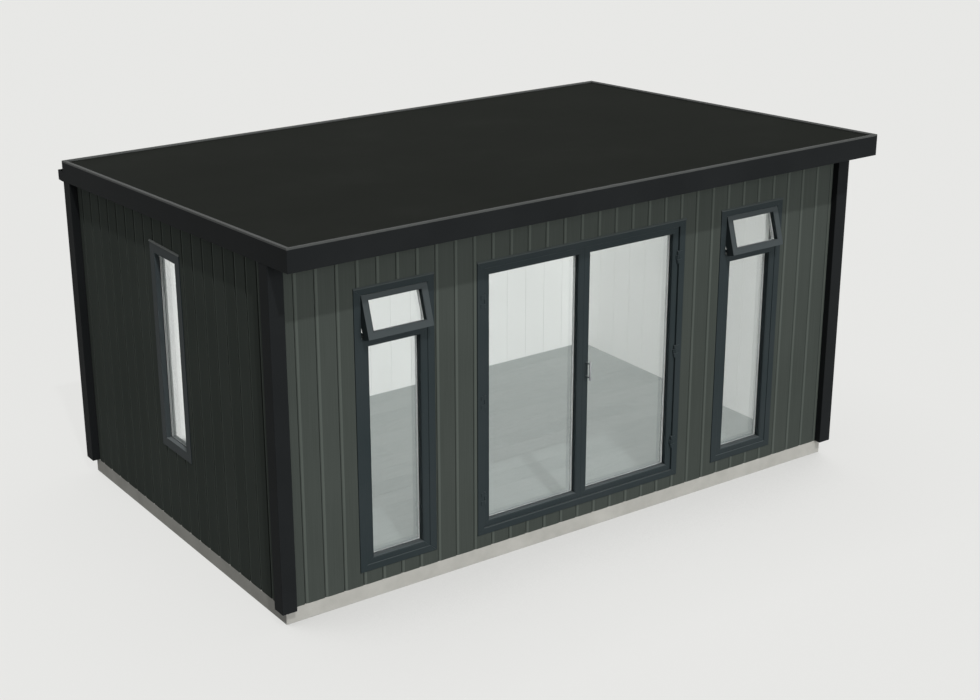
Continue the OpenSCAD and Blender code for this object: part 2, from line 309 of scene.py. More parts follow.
key_sun = add_sun("key_sun", (0.27, 1.0, -1.37), 1.3, 1.5)
soft_front = add_sun("soft_front", (-0.14, 1.0, -0.2), 1.75, 34.0)
# Rays that leave a pane after a reflection inside it must not see the wide sun as a white disc.
soft_front.visible_transmission = False
print("suns outdoors:", key_sun.name, soft_front.name)

# %% World
def seen_ray(tree):
    """A node that gives 1 for rays from the camera, a mirror or glass, and 0 for all others."""
    ray = add_node(tree, "ShaderNodeLightPath")
    seen_or_mirrored = add_node(tree, "ShaderNodeMath", {"operation": "MAXIMUM"},
                                {"Value": ray.outputs["Is Camera Ray"],
                                 "Value_001": ray.outputs["Is Glossy Ray"]})
    return add_node(tree, "ShaderNodeMath", {"operation": "MAXIMUM"},
                    {"Value": seen_or_mirrored, "Value_001": ray.outputs["Is Transmission Ray"]})


backdrop_hex = "#e8e8e6"
sky_level = 0.32
world = bpy.data.worlds.new("studio")
world.use_nodes = True
scene.world = world
sky = world.node_tree
sky.nodes.clear()
fill = add_node(sky, "ShaderNodeBackground", {"Color": linear("#ffffff"), "Strength": sky_level})
wall = add_node(sky, "ShaderNodeBackground", {"Color": linear(backdrop_hex), "Strength": 1.0})
shown = add_node(sky, "ShaderNodeMixShader", {},
                 {"Fac": seen_ray(sky), "Shader": fill, "Shader_001": wall})
add_node(sky, "ShaderNodeOutputWorld", {}, {"Surface": shown})
print("backdrop", backdrop_hex, "fill", sky_level)

# %% [markdown]
# ## Light indoors
# In a closed white room daylight bounces to and fro until each surface has one even tone. Tracing
# all those bounces is slow and grainy, so weak suns that cast no shadow stand for them: one for each
# wall, one for the floor and one for the side window's reveal. A last one does cast shadows: it lays
# a patch of sunlight behind the door. Light linking sorts out what each sun lights: only the included
# pieces of its receiver collection, or all but the excluded ones. Each sun here serves one piece
# alone, because a sun that two such pieces share may miss one of them from one render to the next.
# Panes don't hold up the patch's light, and the outdoor suns leave the room out, so that its tone is
# the same with the door open.

# %% Suns for the room
kept_from_outdoor_suns = bpy.data.collections.new("kept_from_outdoor_suns")
passed_by_sunlight = bpy.data.collections.new("passed_by_sunlight")
key_sun.light_linking.receiver_collection = kept_from_outdoor_suns
soft_front.light_linking.receiver_collection = kept_from_outdoor_suns
room_suns = {"floor_sun": ((0, 0, -1), 0.79), "rear_wall_sun": ((0, 1, 0), 1.48),
             "right_wall_sun": ((1, 0, 0), 0.63), "left_wall_sun": ((-1, 0, 0), 0.7),
             "front_wall_sun": ((0, -1, 0), 0.6), "reveal_sun": ((0, 1, 0), 1.48),
             "patch_sun": ((0.29, 1.0, -1.69), 0.6)}
lit_by = {}
for name, (travels, strength) in room_suns.items():
    sun = add_sun(name, travels, strength, 0.5)
    lit_by[name] = bpy.data.collections.new("lit_by_" + name)
    sun.light_linking.receiver_collection = lit_by[name]
    sun.light_linking.blocker_collection = passed_by_sunlight
    sun.data.use_shadow = name == "patch_sun"


def exclude(piece, collection):
    """Adds a piece to a light linking collection as one that is left out."""
    collection.objects.link(piece)
    collection.collection_objects[-1].light_linking.link_state = "EXCLUDE"


def light_indoors(piece, *names):
    """Has a piece lit by some of the room's suns instead of those outdoors."""
    exclude(piece, kept_from_outdoor_suns)
    for name in names:
        lit_by[name].objects.link(piece)


# %% [markdown]
# ## Floor of the studio
# The ground is one pale sheet that must melt into the backdrop and still hold the building's
# shadow. For rays that the camera, a mirror or glass sends out, it is mostly plain glow of the
# backdrop's colour with some lit surface mixed in, so the shadow stays soft. All other rays meet a
# duller floor, which keeps the light that it throws back on the walls low. Where the building
# stands close, an Ambient Occlusion node deepens the contact shadow.

# %% Pale floor
floor_material, tree, _ = new_material("painted_studio_floor")
contact_reach = 1.6
toward_wall = add_node(tree, "ShaderNodeCombineXYZ", {"X": 0.0, "Y": 0.57, "Z": 0.82})
contact = add_node(tree, "ShaderNodeAmbientOcclusion", {"Distance": contact_reach, "samples": 8},
                   {"Normal": toward_wall})
contact_tone = add_node(tree, "ShaderNodeValToRGB",
                        {"stops": [(0.2, "#c9c9c7"), (0.5, "#e3e3e1"), (1.0, "#e9e9e7")]},
                        {"Fac": contact.outputs["AO"]})
glow = add_node(tree, "ShaderNodeEmission", {"Strength": 1.0}, {"Color": contact_tone})
lit = add_node(tree, "ShaderNodeBsdfDiffuse", {"Color": linear("#f4f5f3")})
shadow_share = 0.08
seen_floor = add_node(tree, "ShaderNodeMixShader", {"Fac": shadow_share},
                      {"Shader": glow, "Shader_001": lit})
dull_floor = add_node(tree, "ShaderNodeBsdfDiffuse", {"Color": linear("#929392")})
either = add_node(tree, "ShaderNodeMixShader", {},
                  {"Fac": seen_ray(tree), "Shader": dull_floor, "Shader_001": seen_floor})
add_node(tree, "ShaderNodeOutputMaterial", {}, {"Surface": either})

floor_half = 60.0
floor_corners = [(-floor_half, -floor_half, 0), (floor_half, -floor_half, 0),
                 (floor_half, floor_half, 0), (-floor_half, floor_half, 0)]
floor_mesh = bpy.data.meshes.new("studio_floor")
floor_mesh.from_pydata(floor_corners, [], [(0, 1, 2, 3)])
floor_mesh.materials.append(floor_material)
studio_floor = bpy.data.objects.new("studio_floor", floor_mesh)
scene.collection.objects.link(studio_floor)
print("studio floor", 2 * floor_half, "m square")

# %% [markdown]
# ## Finish: extruded composite cladding
# The boards are wood fibre and plastic, pressed through a die and then brushed along their length.
# Brushing leaves fine upright streaks and a dull, almost gloss-free face. The streaks are really
# about a millimetre apart; they are drawn eight times coarser so that they show. A number stored on
# each board shifts its tone, because boards come from different batches.

# %% Cladding materials
def composite(name, dark, light, roughness):
    """Extruded wood-plastic in a tone between two colours, with upright brush marks."""
    material, tree, where = new_material(name)
    streak_pitch = 0.008
    upright = add_node(tree, "ShaderNodeMapping", {"Scale": (1.0, 1.0, 0.02)}, {"Vector": where})
    streaks = add_node(tree, "ShaderNodeTexNoise", {"Scale": 1 / streak_pitch, "Detail": 2.0},
                       {"Vector": upright})
    clouds = add_node(tree, "ShaderNodeTexNoise", {"Scale": 1.6, "Detail": 2.0}, {"Vector": where})
    batch = add_node(tree, "ShaderNodeAttribute", {"attribute_name": "tone"})
    both = add_node(tree, "ShaderNodeMath", {"operation": "ADD"},
                    {"Value": streaks, "Value_001": clouds})
    toned = add_node(tree, "ShaderNodeMath", {"operation": "MULTIPLY_ADD", "Value_001": 0.5},
                     {"Value": both, "Value_002": batch.outputs["Fac"]})
    colour = add_node(tree, "ShaderNodeValToRGB", {"stops": [(0.3, dark), (0.7, light)]}, {"Fac": toned})
    close_material(tree, colour, streaks, 0.4 * MM,
                   {"Roughness": roughness, "IOR": 1.5, "Specular IOR Level": 0.01})
    return material


brushed_composite = composite("brushed_composite_cladding", "#414642", "#474c48", 0.75)
# The milled edge beside each joint is smooth, and it is coloured paler as a painted highlight, so it reads
# as a thin light line.
milled_composite_painted_highlight = composite("milled_composite_edge", "#505651", "#565c57", 0.6)
print("cladding materials:", brushed_composite.name, milled_composite_painted_highlight.name)

# %% [markdown]
# ## Finish: float-finished concrete
# The base is poured and rubbed smooth with a float. That leaves broad cloudy tones, fine sand grain
# and a few pinholes where air was trapped against the form boards.

# %% Concrete
floated_concrete, tree, where = new_material("float_finished_concrete")
clouds = add_node(tree, "ShaderNodeTexNoise", {"Scale": 5.0, "Detail": 6.0, "Roughness": 0.6},
                  {"Vector": where})
colour = add_node(tree, "ShaderNodeValToRGB",
                  {"stops": [(0.3, "#aaa9a3"), (0.5, "#b2b1ab"), (0.7, "#b9b8b2")]}, {"Fac": clouds})
# Sand grains of about 2 mm are drawn at 5 mm.
sand = add_node(tree, "ShaderNodeTexNoise", {"Scale": 200.0, "Detail": 3.0}, {"Vector": where})
pinholes = add_node(tree, "ShaderNodeTexVoronoi", {"Scale": 28.0, "Randomness": 1.0}, {"Vector": where})
pit = add_node(tree, "ShaderNodeMapRange", {"From Min": 0.06, "From Max": 0.12, "To Min": -2.0,
                                            "To Max": 0.0}, {"Value": pinholes.outputs["Distance"]})
relief = add_node(tree, "ShaderNodeMath", {"operation": "ADD"}, {"Value": sand, "Value_001": pit})
close_material(tree, colour, relief, 0.6 * MM,
               {"Roughness": 0.9, "IOR": 1.5, "Specular IOR Level": 0.2})
print(floated_concrete.name, "has", len(tree.nodes), "nodes")

# %% [markdown]
# ## Finish: powder coat
# Door and window frames are aluminium, sprayed with dry powder that melts into an even skin. It has
# a faint orange-peel relief and a soft satin gloss. The fascia, posts and gutter have a finer,
# blacker coat. Faces that look up, such as sills and the open sashes, are mixed towards a grey:
# a little of it is fine dust, and most is painted light, which lifts the dark coats as painted
# sunlight and darkens the pale coats as painted shade. One function makes each coat from its colour
# and gloss.

# %% Powder-coated and folded metal
def powder_coat(name, dark, light, roughness, gloss, peel=3.0 * MM, dust=0.0):
    """A sprayed and baked coat; peel is the size of its orange-peel dimples, and dust is how far a
    face that looks up is mixed towards a grey: a little dust, and mostly painted light, lifting dark
    coats as painted sunlight and darkening pale ones as painted shade."""
    material, tree, where = new_material(name)
    dimples = add_node(tree, "ShaderNodeTexNoise", {"Scale": 1 / peel, "Detail": 1.0}, {"Vector": where})
    film = add_node(tree, "ShaderNodeTexNoise", {"Scale": 2.2, "Detail": 3.0}, {"Vector": where})
    clean = add_node(tree, "ShaderNodeValToRGB", {"stops": [(0.35, dark), (0.65, light)]},
                     {"Fac": film})
    facing = add_node(tree, "ShaderNodeNewGeometry").outputs["Normal"]
    upward = add_node(tree, "ShaderNodeSeparateXYZ", {}, {"Vector": facing}).outputs["Z"]
    # Painted light: faces that look up are mixed towards a grey, which lifts the dark coats as painted
    # sunlight and darkens the pale coats as painted shade; only a little of it is dust.
    dusted = add_node(tree, "ShaderNodeMapRange",
                      {"From Min": 0.05, "From Max": 0.45, "To Min": 0.0, "To Max": dust},
                      {"Value": upward})
    colour = add_node(tree, "ShaderNodeMix", {"data_type": "RGBA", "B_Color": linear("#8b9192")},
                      {"Factor_Float": dusted, "A_Color": clean}).outputs[2]
    close_material(tree, colour, dimples, 0.08 * MM,
                   {"Roughness": roughness, "IOR": 1.5, "Specular IOR Level": gloss})
    return material


# Here dust lifts the faces that look up, such as the open sashes: mostly painted sunlight.
anthracite_coat = powder_coat("anthracite_powder_coat", "#2c3436", "#303739", 0.45, 0.06, dust=0.2)
black_coat = powder_coat("black_powder_coat", "#1f2122", "#222425", 0.6, 0.03)
edge_coat = powder_coat("folded_edge_coat", "#4a4c4b", "#4f5150", 0.5, 0.1)
drip_coat = powder_coat("head_drip_coat", "#434949", "#474d4c", 0.5, 0.1)
# A paler copy of the drip coat: painted sunlight on the side window's drip.
side_drip_painted_light_coat = powder_coat("bare_drip_coat", "#6b6f6d", "#717573", 0.5, 0.1)
# A paler copy of the anthracite coat for the side window's bead and reveal: painted light in its deep
# recess, and its dust lifts the sill further as painted sunlight.
bead_painted_light_coat = powder_coat("glazing_bead_coat", "#464d50", "#4a5153", 0.5, 0.05, dust=0.5)
# On the pale room side, dust darkens the faces that look up: painted shade.
indoor_coat = powder_coat("indoor_side_powder_coat", "#eaeceb", "#f0f2f1", 0.5, 0.1, dust=0.55)
print("coats:", [m.name for m in bpy.data.materials if m.name.endswith("coat")])

# %% [markdown]
# ## Finish: rubber, seals and roof sheet
# The roof is one sheet of EPDM rubber. New rubber is near black; a little dust on it gives a grey,
# blotchy bloom, and its gloss is very low. The seals round the glass are the same rubber, pushed
# through a die, so they are darker and smooth.

# %% Rubber
epdm_sheet, tree, where = new_material("dusted_epdm_sheet")
dust = add_node(tree, "ShaderNodeTexNoise", {"Scale": 1.3, "Detail": 7.0, "Roughness": 0.62},
                {"Vector": where})
colour = add_node(tree, "ShaderNodeValToRGB",
                  {"stops": [(0.3, "#282a27"), (0.55, "#2a2c29"), (0.75, "#2d2f2c")]}, {"Fac": dust})
# The sheet's cloth-like grain of 1 mm is drawn at 6 mm.
grain = add_node(tree, "ShaderNodeTexNoise", {"Scale": 160.0, "Detail": 2.0}, {"Vector": where})
close_material(tree, colour, grain, 0.3 * MM,
               {"Roughness": 0.85, "IOR": 1.5, "Specular IOR Level": 0.01})

seal_rubber, tree, where = new_material("extruded_seal_rubber")
grain = add_node(tree, "ShaderNodeTexNoise", {"Scale": 400.0, "Detail": 1.0}, {"Vector": where})
colour = add_node(tree, "ShaderNodeValToRGB", {"stops": [(0.3, "#131514"), (0.7, "#181a19")]},
                  {"Fac": grain})
close_material(tree, colour, grain, 0.05 * MM,
               {"Roughness": 0.7, "IOR": 1.5, "Specular IOR Level": 0.1})
print("rubber:", epdm_sheet.name, seal_rubber.name)

# %% [markdown]
# ## Finish: lining, laminate and plywood
# Indoors the walls and ceiling are white melamine-faced boards, smooth with a faint silk. The
# floor is grey laminate, a printed oak grain under a clear hard layer. The roof deck is softwood
# plywood, which hardly shows.

# %% Indoor boards and plywood
lining_board, tree, where = new_material("white_melamine_board")
batch = add_node(tree, "ShaderNodeAttribute", {"attribute_name": "tone"})
silk = add_node(tree, "ShaderNodeTexNoise", {"Scale": 3.0, "Detail": 2.0}, {"Vector": where})
toned = add_node(tree, "ShaderNodeMath", {"operation": "ADD"},
                 {"Value": silk, "Value_001": batch.outputs["Fac"]})
colour = add_node(tree, "ShaderNodeValToRGB", {"stops": [(0.2, "#edeeec"), (0.8, "#f1f2f0")]},
                  {"Fac": toned})
close_material(tree, colour, silk, 0.2 * MM,
               {"Roughness": 0.5, "IOR": 1.46, "Specular IOR Level": 0.3})


def wood(name, dark, light, along, grain_width, roughness):
    """Sawn or printed wood; along is the stretch of its grain and grain_width its pitch."""
    material, tree, where = new_material(name)
    batch = add_node(tree, "ShaderNodeAttribute", {"attribute_name": "tone"})
    drawn = add_node(tree, "ShaderNodeMapping", {"Scale": along}, {"Vector": where})
    # Each plank's number also slides its grain along, so that no two planks look the same.
    slid = add_node(tree, "ShaderNodeVectorMath", {"operation": "ADD"},
                    {"Vector": drawn, "Vector_001": batch.outputs["Vector"]})
    fibre = add_node(tree, "ShaderNodeTexNoise",
                     {"Scale": 1 / grain_width, "Detail": 5.0, "Distortion": 0.4}, {"Vector": slid})
    toned = add_node(tree, "ShaderNodeMath", {"operation": "ADD"},
                     {"Value": fibre, "Value_001": batch.outputs["Fac"]})
    colour = add_node(tree, "ShaderNodeValToRGB", {"stops": [(0.3, dark), (0.7, light)]},
                      {"Fac": toned})
    close_material(tree, colour, fibre, 0.1 * MM,
                   {"Roughness": roughness, "IOR": 1.5, "Specular IOR Level": 0.25})
    return material


grey_laminate = wood("grey_oak_laminate", "#959d9b", "#9fa6a4", (0.08, 1.0, 1.0), 0.02, 0.45)
plywood = wood("softwood_plywood", "#9c8358", "#b89c6c", (0.1, 1.0, 1.0), 0.012, 0.8)
print("boards:", lining_board.name, grey_laminate.name, plywood.name)

# %% [markdown]
# ## Finish: glass, spacer and metals
# Each pane is clear float glass. In a path tracer real glass blocks lamps, so a shadow ray meets a
# plain see-through shader instead, with the grey of its heat-reflecting film. Between the panes
# runs a spacer bar of pale polymer. The pull handle is stainless steel, and the fanlights' stays
# are steel with a thin bright layer of zinc.

# %% Glass and metals
float_glass, tree, _ = new_material("clear_float_glass")
pane = add_node(tree, "ShaderNodeBsdfPrincipled",
                {"Base Color": linear("#fafbfb"), "Transmission Weight": 1.0, "Roughness": 0.0,
                 "IOR": 1.5})
film_shadow = add_node(tree, "ShaderNodeBsdfTransparent", {"Color": linear("#bababa")})
ray = add_node(tree, "ShaderNodeLightPath")
either = add_node(tree, "ShaderNodeMixShader", {},
                  {"Fac": ray.outputs["Is Shadow Ray"], "Shader": pane, "Shader_001": film_shadow})
add_node(tree, "ShaderNodeOutputMaterial", {}, {"Surface": either})


def bare_metal(name, dark, light, along, roughness):
    """Bare metal with fine brush or drawing lines along its length."""
    material, tree, where = new_material(name)
    drawn = add_node(tree, "ShaderNodeMapping", {"Scale": along}, {"Vector": where})
    # Brush lines of 0.2 mm are drawn at 1 mm.
    lines = add_node(tree, "ShaderNodeTexNoise", {"Scale": 1000.0, "Detail": 2.0}, {"Vector": drawn})
    colour = add_node(tree, "ShaderNodeValToRGB", {"stops": [(0.3, dark), (0.7, light)]},
                      {"Fac": lines})
    close_material(tree, colour, lines, 0.02 * MM, {"Metallic": 1.0, "Roughness": roughness})
    return material


satin_steel = bare_metal("satin_stainless_steel", "#9a9c9f", "#a8aaad", (1.0, 1.0, 0.05), 0.5)
zinc_steel = bare_metal("zinc_plated_steel", "#3a3d40", "#44474a", (1.0, 1.0, 0.3), 0.45)
# The spacer's dust darkens its faces that look up: painted shade.
spacer_bar = powder_coat("grey_polymer_spacer", "#dddfde", "#e2e5e4", 0.6, 0.1, dust=0.8)
print("materials:", len(bpy.data.materials))

# %% [markdown]
# ## Concrete base and hidden roof deck
# Both are already the right shape, so they keep their plain solids. Two modifiers round the arrises:
# a Weld joins the corners that the file format splits, and a Bevel takes off a few millimetres.
# Modifiers leave the solid's own mesh alone, so its true size stays on record.

# %% Base and deck
weld_within = 0.01 * MM
sharp_edge = math.radians(35)


def finish_solid(node, material, round_by):
    """Gives a plain solid its material and rounded edges."""
    solid = frame["nodes"][node]
    solid.data.materials.clear()
    solid.data.materials.append(material)
    solid.modifiers.new("weld", "WELD").merge_threshold = weld_within
    bevel = solid.modifiers.new("bevel", "BEVEL")
    bevel.width = round_by
    bevel.segments = 2
    bevel.limit_method = "ANGLE"
    bevel.angle_limit = sharp_edge
    print(node, "in", material.name, "with edges rounded by", round(round_by / MM, 1), "mm")


finish_solid("base_slab", floated_concrete, 5 * MM)
finish_solid("roof_deck", plywood, 1 * MM)

# %% [markdown]
# ## Walls as coordinates
# All four walls carry the same kind of boards, so each wall gets a small function that turns "along
# to the right, out from the panel, up" into a point. A board drawn once then fits any wall.

# %% Wall directions
def wall_plane(origin, right, out):
    """Turns (along, proud, height) on a wall into a point; right is as seen from outside."""
    def place(along, proud, height):
        return Vector(origin) + Vector(right) * along + Vector(out) * proud + Vector((0, 0, height))
    return place


clad_low, clad_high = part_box("front_cladding_left")
clad_thick = clad_high.y - clad_low.y
side_clad_low, side_clad_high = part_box("left_cladding")
on_front = wall_plane((0, clad_high.y, 0), (1, 0, 0), (0, -1, 0))
on_rear = wall_plane((0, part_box("rear_cladding")[0].y, 0), (-1, 0, 0), (0, 1, 0))
on_left = wall_plane((side_clad_high.x, 0, 0), (0, -1, 0), (-1, 0, 0))
on_right = wall_plane((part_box("right_cladding")[0].x, 0, 0), (0, 1, 0), (1, 0, 0))
print("cladding", round(clad_thick / MM), "mm thick")

# %% [markdown]
# ## Boards
# A run of boards is a loop: each board's outline, seen from above, is swept up from the base to the
# roof. Tops follow the falling roof, because every corner asks the roof's line for its own height.
# A float attribute stores each board's tone for the material.

# %% A run of upright boards
def joints_between(start, stop, first, pitch):
    """The lines of a run's joints: the two ends and every joint between them."""
    count = int((stop - first) / pitch) + 1
    inside = [first + pitch * k for k in range(count)]
    return [start] + [line for line in inside if start < line < stop] + [stop]


def new_boards():
    """An empty bmesh whose corners can hold a tone."""
    bm = bmesh.new()
    bm.verts.layers.float.new("tone")
    return bm


def add_board(bm, start, end, shade, finish=None):
    """A bar between two outlines, with one tone stored on all its corners."""
    before = len(bm.verts)
    add_bar(bm, start, end, finish)
    tone = bm.verts.layers.float["tone"]
    bm.verts.ensure_lookup_table()
    for vert in bm.verts[before:]:
        vert[tone] = shade


def upright_boards(lines, outline, place, bottom, top, seed, spread):
    """Boards between neighbouring lines, each with a tone drawn from -spread to spread."""
    bm = new_boards()
    draw = random.Random(seed)
    for left, right in zip(lines, lines[1:]):
        points, finish = outline(left, right, left == lines[0], right == lines[-1])
        foot = [place(along, proud, bottom) for along, proud in points]
        head = [place(along, proud, top(place(along, proud, 0.0).y)) for along, proud in points]
        add_board(bm, foot, head, draw.uniform(-spread, spread), finish)
    return bm

# %% [markdown]
# ## Cladding boards
# Each board covers 148 mm. Its right edge drops into a narrow shadow gap and goes on as a tongue
# under the next board; its left edge starts with a milled slope, 15 mm wide, that catches light and
# is also coloured paler, as a painted highlight.
# Cladding could be a flat sheet with a bump, but then the joints would vanish at a low angle. As
# real boards they also show at the cut edges round the windows.

# %% Section of a cladding board
board_cover = 147.58 * MM
gap_half = 2.8 * MM
tongue_thick = 8 * MM
tongue_clear = 0.5 * MM
gap_arris = 1.5 * MM
# The milled edge sinks below the board's face: first its steep start at the gap, then the points
# of its slope, each with its distance from the joint.
start_sunk = 5 * MM
slope = ((9 * MM, 3.2 * MM), (22 * MM, 0.8 * MM), (24 * MM, 0.0))
# The slope's two sides take the paler material: a painted highlight.
milled_sides = {2: 1, 3: 1}


def cladding_outline(left, right, is_first, is_last):
    """A board's section as (along, proud) points, and which of its sides are milled."""
    face = clad_thick
    start = left if is_first else left + gap_half
    points = [(start, 0.0), (start, face - start_sunk)]
    points += [(left + along, face - sunk) for along, sunk in slope]
    if is_last:
        points += [(right, face), (right, 0.0)]
    else:
        edge = right - gap_half
        tongue_end = right + gap_half - tongue_clear
        points += [(edge - gap_arris, face), (edge, face - gap_arris), (edge, tongue_thick),
                   (tongue_end, tongue_thick), (tongue_end, 0.0)]
    return points, milled_sides


print("slope", round((slope[-1][0] - slope[0][0]) / MM), "mm wide")

# %% Openings in the walls
tape_wide = 3 * MM
front_frames = ("front_window_left", "front_window_right", "door_frame")
cut_past = 0.3
through_front = Vector((0, cut_past, 0))
through_side = Vector((cut_past, 0, 0))


def opening_of(node, way, grow=0.0):
    """The box that a frame's outline cuts through its wall, along the vector way."""
    low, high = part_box(node)
    spare = Vector((grow, grow, grow))
    return low - way - spare, high + way + spare


front_cuts = [opening_of(node, through_front, tape_wide) for node in front_frames]
side_cuts = [opening_of("side_window", through_side, tape_wide)]
print("openings:", len(front_cuts), "in the front wall,", len(side_cuts), "in the left wall")

# %% Cladding on four walls
clad_top = top_line("left_cladding")
front_half = -clad_low.x
side_half = -side_clad_low.y
first_front_joint = -2.256
first_side_joint = -1.3584
cladding_tones = 0.12


def clad_wall(name, place, half, first, seed, nodes, openings=()):
    """Boards over one wall, from post to post, cut round the frames."""
    lines = joints_between(-half, half, first, board_cover)
    bm = upright_boards(lines, cladding_outline, place, base_top, clad_top, seed, cladding_tones)
    boards = make_piece(name, bm, "building",
                        [brushed_composite, milled_composite_painted_highlight], nodes)
    if openings:
        cut_openings(boards, openings)


clad_wall("front_cladding_boards", on_front, front_half, first_front_joint, 11,
          ("front_cladding_left", "front_cladding_right", "front_cladding_header",
           "front_cladding_sill"), front_cuts)
clad_wall("left_cladding_boards", on_left, side_half, first_side_joint, 12, ("left_cladding",),
          side_cuts)
clad_wall("right_cladding_boards", on_right, side_half, first_side_joint, 13, ("right_cladding",))
clad_wall("rear_cladding_boards", on_rear, front_half, first_front_joint, 14, ("rear_cladding",))

# %% [markdown]
# ## Insulated walls with their lining
# Behind the cladding stands an insulated panel with white boards on its room side. The panel is one
# solid and the boards are a second run, drawn like the cladding but 200 mm wide with fine V joints.
# Both are cut by boxes that follow the frames' outlines, so the reveals show the wall's thickness.

# %% Lining boards and panels
lining_thick = 9 * MM
lining_cover = 200 * MM
lining_hair = 0.2 * MM
lining_tones = 0.2
v_depth = 2 * MM


def lining_outline(left, right, is_first, is_last):
    """A lining board's section with a small V at each joint, a hair clear of its neighbours."""
    face = lining_thick
    start = left + lining_hair
    end = right - lining_hair
    return [(start, lining_hair), (start, face - v_depth), (left + v_depth, face),
            (right - v_depth, face), (end, face - v_depth), (end, lining_hair)], None


def lined_wall(name, nodes, low, high, half, first, seed, suns, openings=()):
    """An insulated panel between two corners, with lining boards on the side that faces the room."""
    across_x = high.x - low.x > high.y - low.y
    core_low, core_high = Vector(low), Vector(high)
    axis = 1 if across_x else 0
    outward = -1 if low[axis] < 0 else 1
    if outward < 0:
        core_high[axis] -= lining_thick
        start = core_high[axis]
    else:
        core_low[axis] += lining_thick
        start = core_low[axis]
    inward = Vector((0, -outward, 0)) if across_x else Vector((-outward, 0, 0))
    along = Vector((1, 0, 0)) if across_x else Vector((0, 1, 0))
    origin = Vector((0, start, 0)) if across_x else Vector((start, 0, 0))
    boards = upright_boards(joints_between(-half, half, first, lining_cover), lining_outline,
                            wall_plane(origin, along, inward), base_top, wall_top, seed,
                            lining_tones)
    core = [(core_low.x, core_low.y), (core_high.x, core_low.y), (core_high.x, core_high.y),
            (core_low.x, core_high.y)]
    add_bar(boards, plan_at(core, base_top), [Vector((x, y, wall_top(y))) for x, y in core])
    wall = make_piece(name, boards, "building", [lining_board], nodes)
    if openings:
        cut_openings(wall, openings)
    light_indoors(wall, *suns)

# %% Four lined walls
front_openings = [opening_of(node, through_front) for node in front_frames]
side_openings = [opening_of("side_window", through_side)]
room_low, room_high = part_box("ceiling")
half_x = room_high.x
half_y = room_high.y
first_x = -2.21
first_y = -1.3
front_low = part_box("front_wall_left")[0]
front_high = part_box("front_wall_right")[1]
lined_wall("front_wall_lined",
           ("front_wall_left", "front_wall_right", "front_wall_header", "front_wall_sill"),
           front_low, front_high, half_x, first_x, 21, ["front_wall_sun"], front_openings)
lined_wall("rear_wall_lined", ("rear_wall",), *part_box("rear_wall"), half_x, first_x, 22,
           ["rear_wall_sun"])
lined_wall("left_wall_lined", ("left_wall",), *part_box("left_wall"), half_y, first_y, 23,
           ["left_wall_sun", "reveal_sun"], side_openings)
lined_wall("right_wall_lined", ("right_wall",), *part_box("right_wall"), half_y, first_y, 24,
           ["right_wall_sun"])

# %% [markdown]
# ## Ceiling and floor boards
# The ceiling is made of boards like the lining but 400 mm wide, laid front to back under the
# falling roof. The floor is laid like real laminate: rows of planks with their end joints staggered
# by a third, each with a fine chamfer on its long edges. One solid plank stands for the laminate
# and the thin underlay below it.

# %% Ceiling
ceiling_top = top_line("ceiling")
ceiling_core = thickness("ceiling") - lining_thick
ceiling_cover = 400 * MM
first_ceiling_joint = -2.0
bm = new_boards()
draw = random.Random(31)
lines = joints_between(-half_x, half_x, first_ceiling_joint, ceiling_cover)
for left, right in zip(lines, lines[1:]):
    points, _ = lining_outline(left, right, False, False)
    front_end, rear_end = [[Vector((x, y, ceiling_top(y) - ceiling_core - down))
                            for x, down in points] for y in (room_low.y, room_high.y)]
    add_board(bm, front_end, rear_end, draw.uniform(-lining_tones, lining_tones))
ceiling = make_piece("ceiling_boards", bm, "building", [lining_board], ("ceiling",))
light_indoors(ceiling)

# %% Floor
plank_wide = 190 * MM
plank_long = 1285 * MM
plank_gap = 0.4 * MM
plank_chamfer = 0.6 * MM
plank_tones = 0.15
sliver = 1 * MM


def plank_section(front, back):
    """A plank's section with a chamfer along its two long edges, as (y, z) points."""
    side_top = floor_top - plank_chamfer
    return [(front, base_top), (front, side_top), (front + plank_chamfer, floor_top),
            (back - plank_chamfer, floor_top), (back, side_top), (back, base_top)]


bm = new_boards()
draw = random.Random(41)
row_y = floor_low.y
row = 0
while row_y < floor_high.y - sliver:
    row_end = min(row_y + plank_wide, floor_high.y)
    section = plank_section(row_y, row_end - plank_gap)
    x = floor_low.x - plank_long * (row % 3) / 3
    while x < floor_high.x - sliver:
        left_end = section_at(section, max(x, floor_low.x))
        right_end = section_at(section, min(x + plank_long, floor_high.x) - plank_gap)
        add_board(bm, left_end, right_end, draw.uniform(-plank_tones, plank_tones))
        x += plank_long
    row_y = row_end
    row += 1
planks = make_piece("laminate_planks", bm, "building", [grey_laminate],
                    ("floor",))
light_indoors(planks, "floor_sun", "patch_sun")
print(row, "rows of planks")

# %% [markdown]
# ## Corner posts
# Each corner is closed by a folded cover around a post. Folding leaves rounded corners of a few
# millimetres, so the outline is a square with four arcs, swept up to the soffit. A thin foot plate
# keeps the cover off the wet base.

# %% Posts
def rounded_square(low, high, radius, steps=4):
    """Corner points of a rectangle in plan with rounded corners."""
    points = []
    corners = ((high.x, high.y, 0), (low.x, high.y, 90), (low.x, low.y, 180), (high.x, low.y, 270))
    for x, y, start in corners:
        middle_x = x - math.copysign(radius, x - (low.x + high.x) / 2)
        middle_y = y - math.copysign(radius, y - (low.y + high.y) / 2)
        for step in range(steps + 1):
            turn = math.radians(start + 90 * step / steps)
            points.append((middle_x + radius * math.cos(turn), middle_y + radius * math.sin(turn)))
    return points


